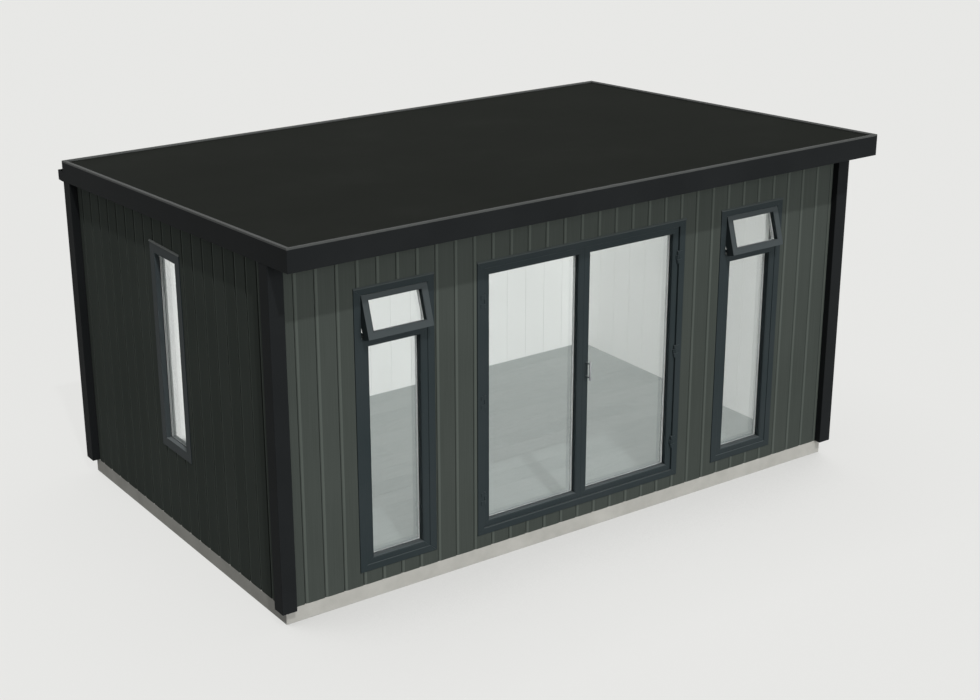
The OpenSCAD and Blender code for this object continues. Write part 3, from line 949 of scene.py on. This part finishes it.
fold_radius = 4 * MM
foot_thick = 3 * MM
foot_inset = Vector((3 * MM, 3 * MM, 0))
for corner in ("front_left", "front_right", "rear_left", "rear_right"):
    node = corner + "_post"
    low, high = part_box(node)
    top = top_line(node)
    cover_foot = low.z + foot_thick
    plan = rounded_square(low, high, fold_radius)
    bm = bmesh.new()
    add_bar(bm, plan_at(plan, cover_foot), [Vector((x, y, top(y))) for x, y in plan])
    add_box(bm, low + foot_inset, Vector((high.x, high.y, cover_foot)) - foot_inset)
    make_piece(node + "_cover", bm, "building", [black_coat], (node,))

# %% [markdown]
# ## Fascia, edge trim and soffit
# Fascia and trim run round the roof like a picture frame, so they are mitred rings seen from above.
# Their place function hangs each point at a depth below the falling roof's surface. The trim is a
# folded strip with a raised lip, which is the light line round the roof; a cover strap at the front
# and one at the rear hide its joints. The soffit keeps its plain solid.

# %% Fascia boards
def under_roof(x, below, y):
    """A point at a depth below the roof's top surface."""
    return Vector((x, y, roof_top(y) - below))


roof_rect = (trim_low.x, trim_high.x, trim_low.y, trim_high.y)
fascia_low, fascia_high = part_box("front_fascia")
fascia_thick = fascia_high.y - fascia_low.y
fascia_deep = roof_top(fascia_high.y) - fascia_low.z
trim_deep = roof_top(trim_low.y) - fascia_high.z
trim_joint = 0.3 * MM
eased = 3 * MM
groove_from, groove_to = 8 * MM, 13 * MM
groove_deep = 3 * MM
groove_slant = 1 * MM


def fascia_outline(width):
    """Section of a fascia board: an eased outer edge and a drip groove underneath."""
    top, foot = trim_deep + trim_joint, fascia_deep
    return [(0, top), (0, foot - eased), (0.3 * eased, foot - 0.3 * eased), (eased, foot),
            (groove_from, foot), (groove_from + groove_slant, foot - groove_deep),
            (groove_to - groove_slant, foot - groove_deep), (groove_to, foot),
            (width, foot), (width, top)]


fascia_bars = ring_bars(roof_rect, [fascia_thick] * 4, fascia_outline, under_roof)
for side, (start, end) in zip(("left", "right", "front", "rear"), fascia_bars):
    bm = bmesh.new()
    add_bar(bm, start, end)
    make_piece(side + "_fascia_board", bm, "building", [black_coat], (side + "_fascia",))

# %% Edge trim and its straps
trim_wide = 32 * MM
strap_half = 35 * MM
trim_mitre_gap = 0.4 * MM


def trim_outline(width):
    """Section of the folded edge trim: a drip, a raised lip and a gentle slope to the roof sheet."""
    return [(0, trim_deep), (0, 2 * MM), (1.5 * MM, 0.3 * MM), (4 * MM, 0), (8 * MM, 0),
            (11 * MM, 2 * MM), (width - 2 * MM, 3 * MM), (width, 5 * MM), (width, trim_deep - 0.5 * MM)]


# A strap is folded over the trim, a hair outside it; its section is (inward, below) like the trim's.
strap_outline = [(-0.8 * MM, trim_deep), (-0.8 * MM, 0.6 * MM), (4 * MM, -0.8 * MM),
                 (8 * MM, -0.8 * MM), (12 * MM, 1.4 * MM), (trim_wide, 2.6 * MM),
                 (trim_wide, 3.4 * MM), (8 * MM, 1 * MM), (2 * MM, 2 * MM), (0.4 * MM, trim_deep)]
bm = bmesh.new()
for start, end in ring_bars(roof_rect, [trim_wide] * 4, trim_outline, under_roof, trim_mitre_gap):
    add_bar(bm, start, end)
for edge_y, inward in ((trim_low.y, 1), (trim_high.y, -1)):
    add_bar(bm, [under_roof(-strap_half, below, edge_y + inward * along) for along, below in strap_outline],
            [under_roof(strap_half, below, edge_y + inward * along) for along, below in strap_outline])
make_piece("roof_edge_strip", bm, "building", [edge_coat], ("roof_edge_trim",))
finish_solid("soffit", black_coat, 1 * MM)

# %% [markdown]
# ## Roof sheet
# One sheet of rubber is rolled over the whole deck, so there are no joints. It isn't dead flat: the
# deck's sheets telegraph through, and a little slack stays as shallow waves. The sheet is a grid of
# points that follows the roof and is moved up or down by a smooth formula, with a flat underside.

# %% Shape of the sheet
sheet_low, sheet_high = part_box("roof_membrane")
sheet_top = top_line("roof_membrane")
sheet_thick = thickness("roof_membrane")
deck_sheet = 1.22
ridge_high = 1 * MM
ridge_narrow = 18
wave_high = 0.6 * MM
sunk = 1.2 * MM


def sheet_wave(x, y):
    """Height of the roof sheet's slack: faint ridges over the deck's joints and shallow waves."""
    across = abs((x / deck_sheet) % 1.0 - 0.5) * 2
    ridge = max(0.0, 1 - (1 - across) * ridge_narrow) * ridge_high
    waves = wave_high * math.sin(2.1 * x + 1.3 * y) * math.cos(3.3 * y - 0.7 * x)
    return ridge + waves - sunk


print("rubber sheet", round(sheet_thick / MM, 1), "mm thick")

# %% Membrane
flat_border = 3
steps_x, steps_y = 132, 60


def rim_of(rows):
    """The points round the edge of a grid, in order."""
    return (rows[0] + [row[-1] for row in rows[1:]] + rows[-1][-2::-1]
            + [row[0] for row in rows[-2:0:-1]])


bm = bmesh.new()
top_rows, foot_rows = [], []
for j in range(steps_y + 1):
    y = sheet_low.y + (sheet_high.y - sheet_low.y) * j / steps_y
    top_row, foot_row = [], []
    for i in range(steps_x + 1):
        x = sheet_low.x + (sheet_high.x - sheet_low.x) * i / steps_x
        # The waves fade out over the last few steps, where the trim holds the sheet down.
        held = min(1.0, min(i, steps_x - i, j, steps_y - j) / flat_border)
        top_row.append(bm.verts.new((x, y, sheet_top(y) + held * sheet_wave(x, y))))
        foot_row.append(bm.verts.new((x, y, sheet_top(y) - sheet_thick)))
    top_rows.append(top_row)
    foot_rows.append(foot_row)
for rows in (top_rows, foot_rows):
    for near_row, far_row in zip(rows, rows[1:]):
        for corners in zip(near_row, near_row[1:], far_row[1:], far_row):
            bm.faces.new(corners).smooth = True
top_rim = rim_of(top_rows)
foot_rim = rim_of(foot_rows)
for k, (upper, lower) in enumerate(zip(top_rim, foot_rim)):
    n = (k + 1) % len(top_rim)
    bm.faces.new((upper, lower, foot_rim[n], top_rim[n]))
make_piece("epdm_roof_sheet", bm, "building", [epdm_sheet], ("roof_membrane",))

# %% [markdown]
# ## Gutter and downpipe
# A box gutter hangs on brackets behind the rear fascia. Its section is a thin U with a rolled outer
# lip, drawn once and swept along the roof, with a stop end at each side. The downpipe leaves it
# near the right end and is held by two clips.

# %% Gutter
gutter_low, gutter_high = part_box("rear_gutter")
gutter_deep = 75 * MM
gutter_top = gutter_high.z
gutter_foot = gutter_top - gutter_deep
near_y = gutter_low.y + 0.5 * MM
far_y = gutter_high.y
metal = 2 * MM
lip = 8 * MM
rolled = 1 * MM
curve = 6 * MM
gutter_outside = [(near_y, gutter_top), (near_y, gutter_foot + curve), (near_y + curve, gutter_foot),
                  (far_y - curve, gutter_foot), (far_y, gutter_foot + curve),
                  (far_y, gutter_top - rolled), (far_y - rolled, gutter_top),
                  (far_y - lip, gutter_top), (far_y - lip, gutter_top - lip)]
gutter_inside = [(far_y - lip + metal, gutter_top - lip), (far_y - lip + metal, gutter_top - metal),
                 (far_y - metal, gutter_top - metal), (far_y - metal, gutter_foot + curve),
                 (far_y - curve, gutter_foot + metal), (near_y + curve, gutter_foot + metal),
                 (near_y + metal, gutter_foot + curve), (near_y + metal, gutter_top)]
stop_thick = 3 * MM
stop_corner = 4 * MM
stop_overlap = 0.1 * MM
stop_plate = [(near_y, gutter_top), (near_y, gutter_foot), (far_y - stop_corner, gutter_foot),
              (far_y, gutter_foot + stop_corner), (far_y, gutter_top)]


def add_along_x(bm, section, start, end):
    """A bar with one section from x start to x end."""
    add_bar(bm, section_at(section, start), section_at(section, end))


bm = bmesh.new()
add_along_x(bm, gutter_outside + gutter_inside, gutter_low.x + stop_thick, gutter_high.x - stop_thick)
for x in (gutter_low.x, gutter_high.x - stop_thick + stop_overlap):
    add_along_x(bm, stop_plate, x, x + stop_thick - stop_overlap)
print("gutter section of", len(gutter_outside + gutter_inside), "points")

# %% Downpipe
pipe_half = 32.5 * MM
pipe_from_side = 150 * MM
pipe_round = 6 * MM
socket_long = 60 * MM
socket_grow = Vector((3 * MM, 3 * MM, 0))
pipe_x = base_high.x - pipe_from_side
pipe_y = (gutter_low.y + gutter_high.y) / 2
pipe_low = Vector((pipe_x - pipe_half, pipe_y - pipe_half, gutter_low.z))
pipe_high = Vector((pipe_x + pipe_half, pipe_y + pipe_half, gutter_foot))
for foot_z, grow in ((gutter_low.z, 0), (gutter_foot - socket_long, 1)):
    plan = rounded_square(pipe_low - grow * socket_grow, pipe_high + grow * socket_grow, pipe_round)
    add_bar(bm, plan_at(plan, foot_z), plan_at(plan, gutter_foot))
make_piece("box_gutter_and_downpipe", bm, "building", [black_coat], ("rear_gutter",))

# %% Brackets and clips
bracket_wide = 25 * MM
bracket_pitch = 0.8
bracket_inset = 0.15
bracket_clear = 3 * MM
clip_levels = (0.55, 1.75)
clip_high = 30 * MM
clip_grow = 4 * MM
run = gutter_high.x - gutter_low.x - 2 * bracket_inset
bm = bmesh.new()
for k in range(int(run / bracket_pitch) + 1):
    x = gutter_low.x + bracket_inset + bracket_pitch * k
    add_box(bm, (x, gutter_low.y + bracket_clear, gutter_top - 4 * MM),
            (x + bracket_wide, far_y - bracket_clear, gutter_top - 1 * MM), 0.5 * MM)
for level in clip_levels:
    add_box(bm, (pipe_low.x - clip_grow, base_high.y + 1 * MM, level),
            (pipe_high.x + clip_grow, pipe_high.y + clip_grow, level + clip_high), 2 * MM)
make_piece("gutter_brackets_and_clips", bm, "building", [black_coat])

# %% [markdown]
# ## Door and window frames
# A frame is four mitred lengths of the same extruded section. Drawing the section once and letting a
# function cut the mitres gives true corner joints and a rounded front edge, which is where powder
# coat catches the light.

# %% Frame sections
lip_wide = 3.6 * MM
lip_behind = 15 * MM
lip_thick = 4 * MM
frame_round = 2.5 * MM


def frame_section(depth, stop=None):
    """Section of an outer frame. stop is the width and depth of a rebate at its inner back; a
    frame with one also has a thin lip that closes the gap beside the leaf to a fine line."""
    def outline(width):
        points = [(0, frame_round), (0.7 * MM, 0.7 * MM), (frame_round, 0), (width - frame_round, 0),
                  (width - 0.7 * MM, 0.7 * MM), (width, frame_round)]
        if stop:
            stop_y = depth - stop[1]
            points += [(width, lip_behind), (width + lip_wide, lip_behind + 0.2 * MM),
                       (width + lip_wide, lip_behind + lip_thick),
                       (width, lip_behind + lip_thick + 0.2 * MM), (width, stop_y),
                       (width + stop[0] - 1 * MM, stop_y), (width + stop[0], stop_y + 1 * MM),
                       (width + stop[0], depth)]
        else:
            points += [(width, depth)]
        return points + [(0, depth)]
    return outline

# %% Faces and rings
def front_face(face_y):
    """Places (x, behind, z) behind a vertical face that looks to the front."""
    return lambda x, behind, z: Vector((x, face_y + behind, z))


def rect_of(node):
    """The outer rectangle of a frame in the front wall, as (left, right, bottom, top)."""
    low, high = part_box(node)
    return low.x, high.x, low.z, high.z


def shrink(rect, widths):
    """The rectangle inside a frame's members, or round it where the widths are negative."""
    return (rect[0] + widths[0], rect[1] - widths[1], rect[2] + widths[2], rect[3] - widths[3])


def add_ring(bm, rect, widths, outline, place, finish=None, mitre_gap=0.3 * MM):
    """Adds the four bars of a mitred frame to a bmesh."""
    for start, end in ring_bars(rect, widths, outline, place, mitre_gap):
        add_bar(bm, start, end, finish)

# %% Outer frame of the door
door_low, door_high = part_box("door_frame")
frame_y = door_low.y
side_face, sill_face, head_face = 52 * MM, 47 * MM, 42 * MM
outer_widths = (side_face, side_face, sill_face, head_face)
door_stop = (20 * MM, 10 * MM)
door_rect = rect_of("door_frame")
bm = bmesh.new()
add_ring(bm, door_rect, outer_widths, frame_section(door_high.y - frame_y, door_stop),
         front_face(frame_y))
make_piece("door_frame_profiles", bm, "building", [anthracite_coat],
           ("door_frame",))

# %% [markdown]
# ## Sealed glass
# Real double glazing is two panes with a spacer bar between their edges and a rubber seal against
# the frame on either side. All of that is built: it gives the panes their double reflection and the
# fine line round them. Each pane is a closed slab, so light bends in and out of it correctly.

# %% Glass units and seals
unit_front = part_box("door_glass_left")[0].y
unit_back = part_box("door_glass_left")[1].y
unit_thick = 24 * MM
pane_thick = 4 * MM
pane_clear = 0.4 * MM
spacer_high = 3 * MM
spacer_gap = 0.3 * MM
seal_wide = 1.5 * MM


def slab_between(rect, front, back, place):
    """The eight corners of a slab behind a face, as two outlines."""
    left, right, bottom, top = rect
    corners = ((left, bottom), (right, bottom), (right, top), (left, top))
    return [place(x, front, z) for x, z in corners], [place(x, back, z) for x, z in corners]


def glaze(name, rect, front, back, place, body, stands_for=()):
    """Two panes between the depths front and back, with their spacer bar and seals."""
    panes = bmesh.new()
    pane_rect = shrink(rect, [pane_clear] * 4)
    add_bar(panes, *slab_between(pane_rect, front, front + pane_thick, place))
    add_bar(panes, *slab_between(pane_rect, back - pane_thick, back, place))
    clear = make_piece(name + "_panes", panes, body, [float_glass], stands_for)
    exclude(clear, passed_by_sunlight)

    def spacer_outline(width):
        near, far = front + pane_thick + spacer_gap, back - pane_thick - spacer_gap
        return [(spacer_gap, near), (width, near), (width, far), (spacer_gap, far)]

    spacer = bmesh.new()
    add_ring(spacer, rect, [spacer_high] * 4, spacer_outline, place)
    make_piece(name + "_spacer", spacer, body, [spacer_bar])
    seals = bmesh.new()
    for face, away in ((front, -1), (back, 1)):
        def seal_outline(width, face=face, away=away):
            return [(0, face), (0, face + away * 3 * MM), (width * 0.5, face + away * 2.5 * MM),
                    (width, face + away * 1 * MM), (width, face)]
        add_ring(seals, rect, [seal_wide] * 4, seal_outline, place, mitre_gap=0.0)
    make_piece(name + "_seals", seals, body, [seal_rubber])


print("glass units", round((unit_back - unit_front) / MM, 1), "mm thick")

# %% [markdown]
# ## Door leaves
# Each leaf is a mitred frame of its own that sits 13 mm behind the outer frame's face. Frames like
# this are often coated in two colours, so the side that faces the room is pale: through the glass
# it shows as a light strip beside each pane. At its hinged edge a leaf carries half of every hinge:
# a round knuckle on the hinge line and a flag that screws to the stile. Everything here rides on
# the leaf's body, so it turns with the door.

# %% Section of a leaf
stile_face = 47 * MM
meeting_stile = 48 * MM
meeting_bevel = 3 * MM
bead_face = 4.5 * MM
soft_arris = 7 * MM
cover_lip = 2.6 * MM


def leaf_section(depth, glass_middle, edge=1 * MM, arris=1.5 * MM, meeting=None):
    """Section of a leaf or sash member: rounded face, a fine bead line and a plain back. arris is
    the radius of the bead's edge beside the glass. meeting is the width of a meeting stile. Its
    edge slopes so that it clears the other leaf as it opens, and a thin cover lip at its face
    closes the gap to that leaf."""
    def outline(width):
        meets = width == meeting
        slope = meeting_bevel if meets else 0
        lip = -cover_lip if meets else 0
        joint = width - arris - bead_face
        return [(0, 4.2 * MM), (lip, 4 * MM), (lip, edge), (lip + edge * 0.3, edge * 0.3),
                (lip + edge, 0), (joint - 1 * MM, 0), (joint - 0.5 * MM, 1 * MM),
                (joint, 1 * MM), (joint + 0.5 * MM, 0), (width - arris, 0),
                (width - 0.3 * arris, 0.3 * arris), (width, arris), (width, glass_middle),
                (width, depth - 1 * MM), (width - 1 * MM, depth), (slope + 1 * MM, depth),
                (slope, depth - 1 * MM)]
    return outline


# Sides of that section that face the room, and those of the bead in front of the glass; the side window
# colours the bead's sides paler, as painted light.
room_sides = {12: 1, 13: 1, 14: 1, 15: 1}
bead_sides = {9: 2, 10: 2, 11: 2}
print("pale sides", list(room_sides), "bead sides", list(bead_sides))

# %% Two leaves
hinge_axis = {}
for joint in frame["joints"]:
    hinge_axis[joint["name"].split("_")[0]] = Vector(joint["pos_m"])
sash_y = frame_y + 13 * MM
sash_deep = 62 * MM
leaf_gap = 5 * MM
meeting_half = 3 * MM
glass_behind = unit_front - sash_y + unit_thick / 2
leaf_coats = [anthracite_coat, indoor_coat]
door_inside = shrink(door_rect, outer_widths)
leaf_bottom = door_inside[2] + leaf_gap
leaf_top = door_inside[3] - leaf_gap
knuckle_radius = 7 * MM
knuckle_half = 15 * MM
knuckle_from_end = 0.22
knuckle_levels = (leaf_bottom + knuckle_from_end, (leaf_bottom + leaf_top) / 2,
                  leaf_top - knuckle_from_end)
flag_past = 3 * MM
for side, sign in (("left", -1), ("right", 1)):
    hinge = hinge_axis[side]
    ends = sorted((sign * (door_inside[1] - leaf_gap), sign * meeting_half))
    stiles = (stile_face, meeting_stile) if sign < 0 else (meeting_stile, stile_face)
    section = leaf_section(sash_deep, glass_behind, arris=soft_arris, meeting=meeting_stile)
    bm = bmesh.new()
    add_ring(bm, (*ends, leaf_bottom, leaf_top), stiles + (stile_face, stile_face), section,
             front_face(sash_y), room_sides)
    flag = sorted((hinge.x - sign * 2 * knuckle_radius, hinge.x + sign * flag_past))
    for level in knuckle_levels:
        foot, head = level - knuckle_half, level + knuckle_half
        add_rod(bm, (hinge.x, hinge.y, foot), (hinge.x, hinge.y, head), knuckle_radius, 32)
        add_box(bm, (flag[0], hinge.y, foot), (flag[1], sash_y + 1 * MM, head), 0.8 * MM)
    make_piece("door_leaf_" + side + "_profiles", bm, side + "_leaf",
               leaf_coats, ("door_leaf_" + side,))
    glass = "door_glass_" + side
    glass_low, glass_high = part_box(glass)
    glaze(glass, rect_of(glass), glass_low.y, glass_high.y, front_face(0.0), side + "_leaf", (glass,))
print("leaf", round(leaf_top - leaf_bottom, 3), "m high")

# %% [markdown]
# ## Handles and hinges
# The hinge halves on the frame are already true shapes, so they keep their plain solids and get the
# frame's coat. A pull handle is a bright steel bar with domed ends, turned from a short profile,
# and it stands on coated stand-offs with small round roses. Two pieces keep the two metals apart.

# %% A turned solid
def add_turned(bm, start, axis, profile, steps=32):
    """A solid turned about an axis from a profile of (along, radius) points."""
    turn_to = axis.to_track_quat("Z", "Y")
    rings = []
    for along, radius in profile:
        ring = []
        for k in range(steps):
            turn = 2 * math.pi * k / steps
            spoke = Vector((radius * math.cos(turn), radius * math.sin(turn), along))
            ring.append(bm.verts.new(start + turn_to @ spoke))
        rings.append(ring)
    for near_ring, far_ring in zip(rings, rings[1:]):
        for k in range(steps):
            n = (k + 1) % steps
            bm.faces.new((near_ring[k], near_ring[n], far_ring[n], far_ring[k])).smooth = True
    bm.faces.new(rings[0][::-1])
    bm.faces.new(rings[-1])


finish_solid("door_hinges", anthracite_coat, 0.6 * MM)

# %% Pull handles
handle_low, handle_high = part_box("door_handles")
bar_radius = (handle_high.x - handle_low.x) / 2
handle_x = (handle_low.x + handle_high.x) / 2
handle_long = handle_high.z - handle_low.z
dome = 2.5 * MM
shoulder = 0.8 * MM
bar_profile = [(0.0, bar_radius - dome), (shoulder, bar_radius - shoulder), (dome, bar_radius),
               (handle_long - dome, bar_radius), (handle_long - shoulder, bar_radius - shoulder),
               (handle_long, bar_radius - dome)]
stand_off_radius = 4 * MM
stand_off_inset = 20 * MM
stand_off_sunk = 0.5 * MM
rose_radius = 10 * MM
rose_thick = 2.5 * MM
rose_clear = 0.1 * MM
bars = bmesh.new()
stands = bmesh.new()
for face_y, bar_y, out in ((sash_y, handle_low.y + bar_radius, -1),
                           (sash_y + sash_deep, handle_high.y - bar_radius, 1)):
    add_turned(bars, Vector((handle_x, bar_y, handle_low.z)), Vector((0, 0, 1)), bar_profile)
    reach = abs(bar_y - face_y) - bar_radius + stand_off_sunk
    stand_profile = [(rose_clear, rose_radius), (rose_thick * 0.6, rose_radius),
                     (rose_thick, rose_radius - shoulder), (rose_thick, stand_off_radius),
                     (reach, stand_off_radius)]
    for end_z in (handle_low.z + stand_off_inset, handle_high.z - stand_off_inset):
        add_turned(stands, Vector((handle_x, face_y, end_z)), Vector((0, out, 0)), stand_profile)
make_piece("pull_handle_bars", bars, "right_leaf", [satin_steel], ("door_handles",))
make_piece("pull_handle_stand_offs", stands, "right_leaf", [anthracite_coat])

# %% [markdown]
# ## Front windows
# Each slim window is one outer frame with a transom. Below the transom a fixed sash holds the tall
# pane, almost flush with the frame. Above it a small fanlight hangs from its top edge and stands open.
# A thin strip under the head keeps wind out of the joint over the open sash.

# %% Window frames
transom_high = 21 * MM
transom_edge = 2 * MM
fixed_widths = (54 * MM, 54 * MM, 48 * MM, 40 * MM)
fanlight_gap = 3 * MM
fanlight_high = 284 * MM
window_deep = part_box("front_window_left")[1].y - frame_y
window_back = frame_y + window_deep
fixed_y = frame_y + 5 * MM
set_back = sash_y - fixed_y
fixed_section = leaf_section(sash_deep + set_back, glass_behind + set_back, 0.4 * MM, soft_arris)
strip_front, strip_back = frame_y + 1.5 * MM, frame_y + 12 * MM
strip_clear = 0.2 * MM
for side in ("left", "right"):
    node = "front_window_" + side
    rect = rect_of(node)
    inside = shrink(rect, outer_widths)
    fanlight_top = inside[3] - fanlight_gap
    transom_top = fanlight_top - fanlight_high - fanlight_gap
    transom_foot = transom_top - transom_high
    lower = (*inside[:3], transom_foot)
    bm = bmesh.new()
    add_ring(bm, rect, outer_widths, frame_section(window_deep), front_face(frame_y))
    add_ring(bm, lower, fixed_widths, fixed_section, front_face(fixed_y), room_sides)
    transom = [(frame_y + transom_edge, transom_foot), (frame_y, transom_foot + transom_edge),
               (frame_y, transom_top - transom_edge), (frame_y + transom_edge, transom_top),
               (window_back, transom_top), (window_back, transom_foot)]
    add_along_x(bm, transom, inside[0], inside[1])
    add_box(bm, (inside[0] + strip_clear, strip_front, fanlight_top + 0.3 * MM),
            (inside[1] - strip_clear, strip_back, inside[3] - 0.1 * MM))
    make_piece(node + "_profiles", bm, "building", leaf_coats, (node,))
    glaze(node + "_fixed", shrink(lower, fixed_widths), unit_front, unit_back, front_face(0.0),
          "building", ("front_glass_" + side,))

# %% [markdown]
# ## Fanlights
# The sash is drawn closed, as a maker would measure it, and its place function then swings it out
# about its top edge. A flat steel stay at each side holds it at that angle.

# %% Swing and stays
open_angle = math.radians(17)
fanlight_deep = 70 * MM
stay_beside = 1.4 * MM
stay_half_wide = 6 * MM
stay_half_thick = 1 * MM
foot_behind, foot_up = 55 * MM, 60 * MM
head_behind, head_up = fanlight_deep - 14 * MM, 26 * MM
pin_radius = 4 * MM
pin_proud = 1.3


def swung(x, behind, up):
    """A point of the closed sash, swung out about its top front edge, from which it is measured."""
    y = frame_y + behind * math.cos(open_angle) + up * math.sin(open_angle)
    return Vector((x, y, fanlight_top - behind * math.sin(open_angle) + up * math.cos(open_angle)))


def add_stays(node):
    """A flat stay at each side of a sash, from the frame to the sash, with a pin at each end."""
    low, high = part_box(node)
    stays = bmesh.new()
    for x, inward in ((low.x, 1), (high.x, -1)):
        stay_x = x - inward * stay_beside
        foot = Vector((stay_x, frame_y + foot_behind, fanlight_top - fanlight_high + foot_up))
        head = swung(stay_x, head_behind, -fanlight_high + head_up)
        along = (head - foot).normalized()
        wide = Vector((0, -along.z, along.y)) * stay_half_wide
        thick = Vector((inward * stay_half_thick, 0, 0))
        plan = [foot - wide, foot + wide, head + wide, head - wide]
        add_bar(stays, [p - thick for p in plan], [p + thick for p in plan])
        for pin in (foot, head):
            add_rod(stays, pin - thick * pin_proud, pin + thick * pin_proud, pin_radius, 16)
    make_piece(node + "_stays", stays, "building", [zinc_steel])


print("sashes swing out by", round(math.degrees(open_angle)), "degrees")

# %% Open fanlights
fanlight_glass = 34 * MM
fanlight_widths = (stile_face, stile_face, 48 * MM, 36 * MM)
sash_section = leaf_section(fanlight_deep, fanlight_glass + unit_thick / 2)
for node in ("fanlight_left", "fanlight_right"):
    low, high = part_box(node)
    rect = (low.x, high.x, -fanlight_high, 0.0)
    bm = bmesh.new()
    add_ring(bm, rect, fanlight_widths, sash_section, swung, room_sides)
    make_piece(node + "_profiles", bm, "building", leaf_coats, (node,))
    glaze(node, shrink(rect, fanlight_widths), fanlight_glass, fanlight_glass + unit_thick, swung,
          "building")
    add_stays(node)

# %% [markdown]
# ## Side window
# The left wall has one slim fixed window. It is made from the same kind of section with a wider
# face. Only its place function differs: its "right" runs towards the front of the building.

# %% Side window
side_low, side_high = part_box("side_window")
side_glass_low, side_glass_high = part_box("side_glass")
side_rect = (-side_high.y, -side_low.y, side_low.z, side_high.z)
side_widths = (68 * MM,) * 4
side_section = leaf_section(side_high.x - side_low.x,
                            side_glass_low.x - side_low.x + unit_thick / 2, 1 * MM)


def left_face(face_x):
    """Places (along, behind, z) behind a vertical face that looks to the left."""
    return lambda along, behind, z: Vector((face_x + behind, -along, z))


bm = bmesh.new()
# The bead's sides here take the paler coat: painted light in the window's deep recess.
add_ring(bm, side_rect, side_widths, side_section, left_face(side_low.x), {**room_sides, **bead_sides})
make_piece("side_window_profiles", bm, "building",
           [anthracite_coat, indoor_coat, bead_painted_light_coat], ("side_window",))
glaze("side_window", shrink(side_rect, side_widths), side_glass_low.x, side_glass_high.x,
      left_face(0.0), "building", ("side_glass",))

# %% [markdown]
# ## Drips and tapes round the frames
# Rain that runs down the boards must not get behind a frame. A folded drip strip lies over each
# frame's head; its sloping top is the pale line there. At the sides and below, a black foam tape
# fills the 3 mm joint and shows as a thin dark line.

# %% Head drips
drip_high = 12 * MM
drip_proud = 8 * MM
drip_clear = 0.2 * MM
# The strip's section as (proud of the cladding, up from the frame's head).
drip_section = [(-2 * MM, drip_clear), (-2 * MM, drip_high), (1 * MM, drip_high),
                (drip_proud - 1 * MM, 5 * MM), (drip_proud, 3.5 * MM), (drip_proud, drip_clear)]


def add_drip(bm, rect, place):
    """A folded strip over a frame's head; place takes (along, proud of the cladding, height)."""
    left, right, _, head = shrink(rect, [-tape_wide, -tape_wide, 0, 0])
    add_bar(bm, [place(left, proud, head + up) for proud, up in drip_section],
            [place(right, proud, head + up) for proud, up in drip_section])


bm = bmesh.new()
for node in front_frames:
    add_drip(bm, rect_of(node), lambda along, proud, up: Vector((along, clad_low.y - proud, up)))
make_piece("head_drip_strips", bm, "building", [drip_coat])
# The side drip takes a paler copy of the drip coat: painted sunlight on its top.
bm = bmesh.new()
add_drip(bm, side_rect, lambda along, proud, up: Vector((side_clad_low.x - proud, -along, up)))
make_piece("side_drip_strip", bm, "building", [side_drip_painted_light_coat])

# %% Foam tapes
tape_deep = 14 * MM
tape_back = 4 * MM
tape_hair = 0.2 * MM


def tape_outline(width):
    """Section of the tape in its joint, a little behind the boards' face."""
    near, far = tape_back, tape_back + tape_deep
    return [(tape_hair, near), (width - tape_hair, near), (width - tape_hair, far), (tape_hair, far)]


bm = bmesh.new()
taped = [(rect_of(node), front_face(clad_low.y)) for node in front_frames]
taped.append((side_rect, left_face(side_clad_low.x)))
for rect, place in taped:
    add_ring(bm, shrink(rect, [-tape_wide] * 4), [tape_wide] * 4, tape_outline, place)
make_piece("foam_joint_tapes", bm, "building", [seal_rubber])
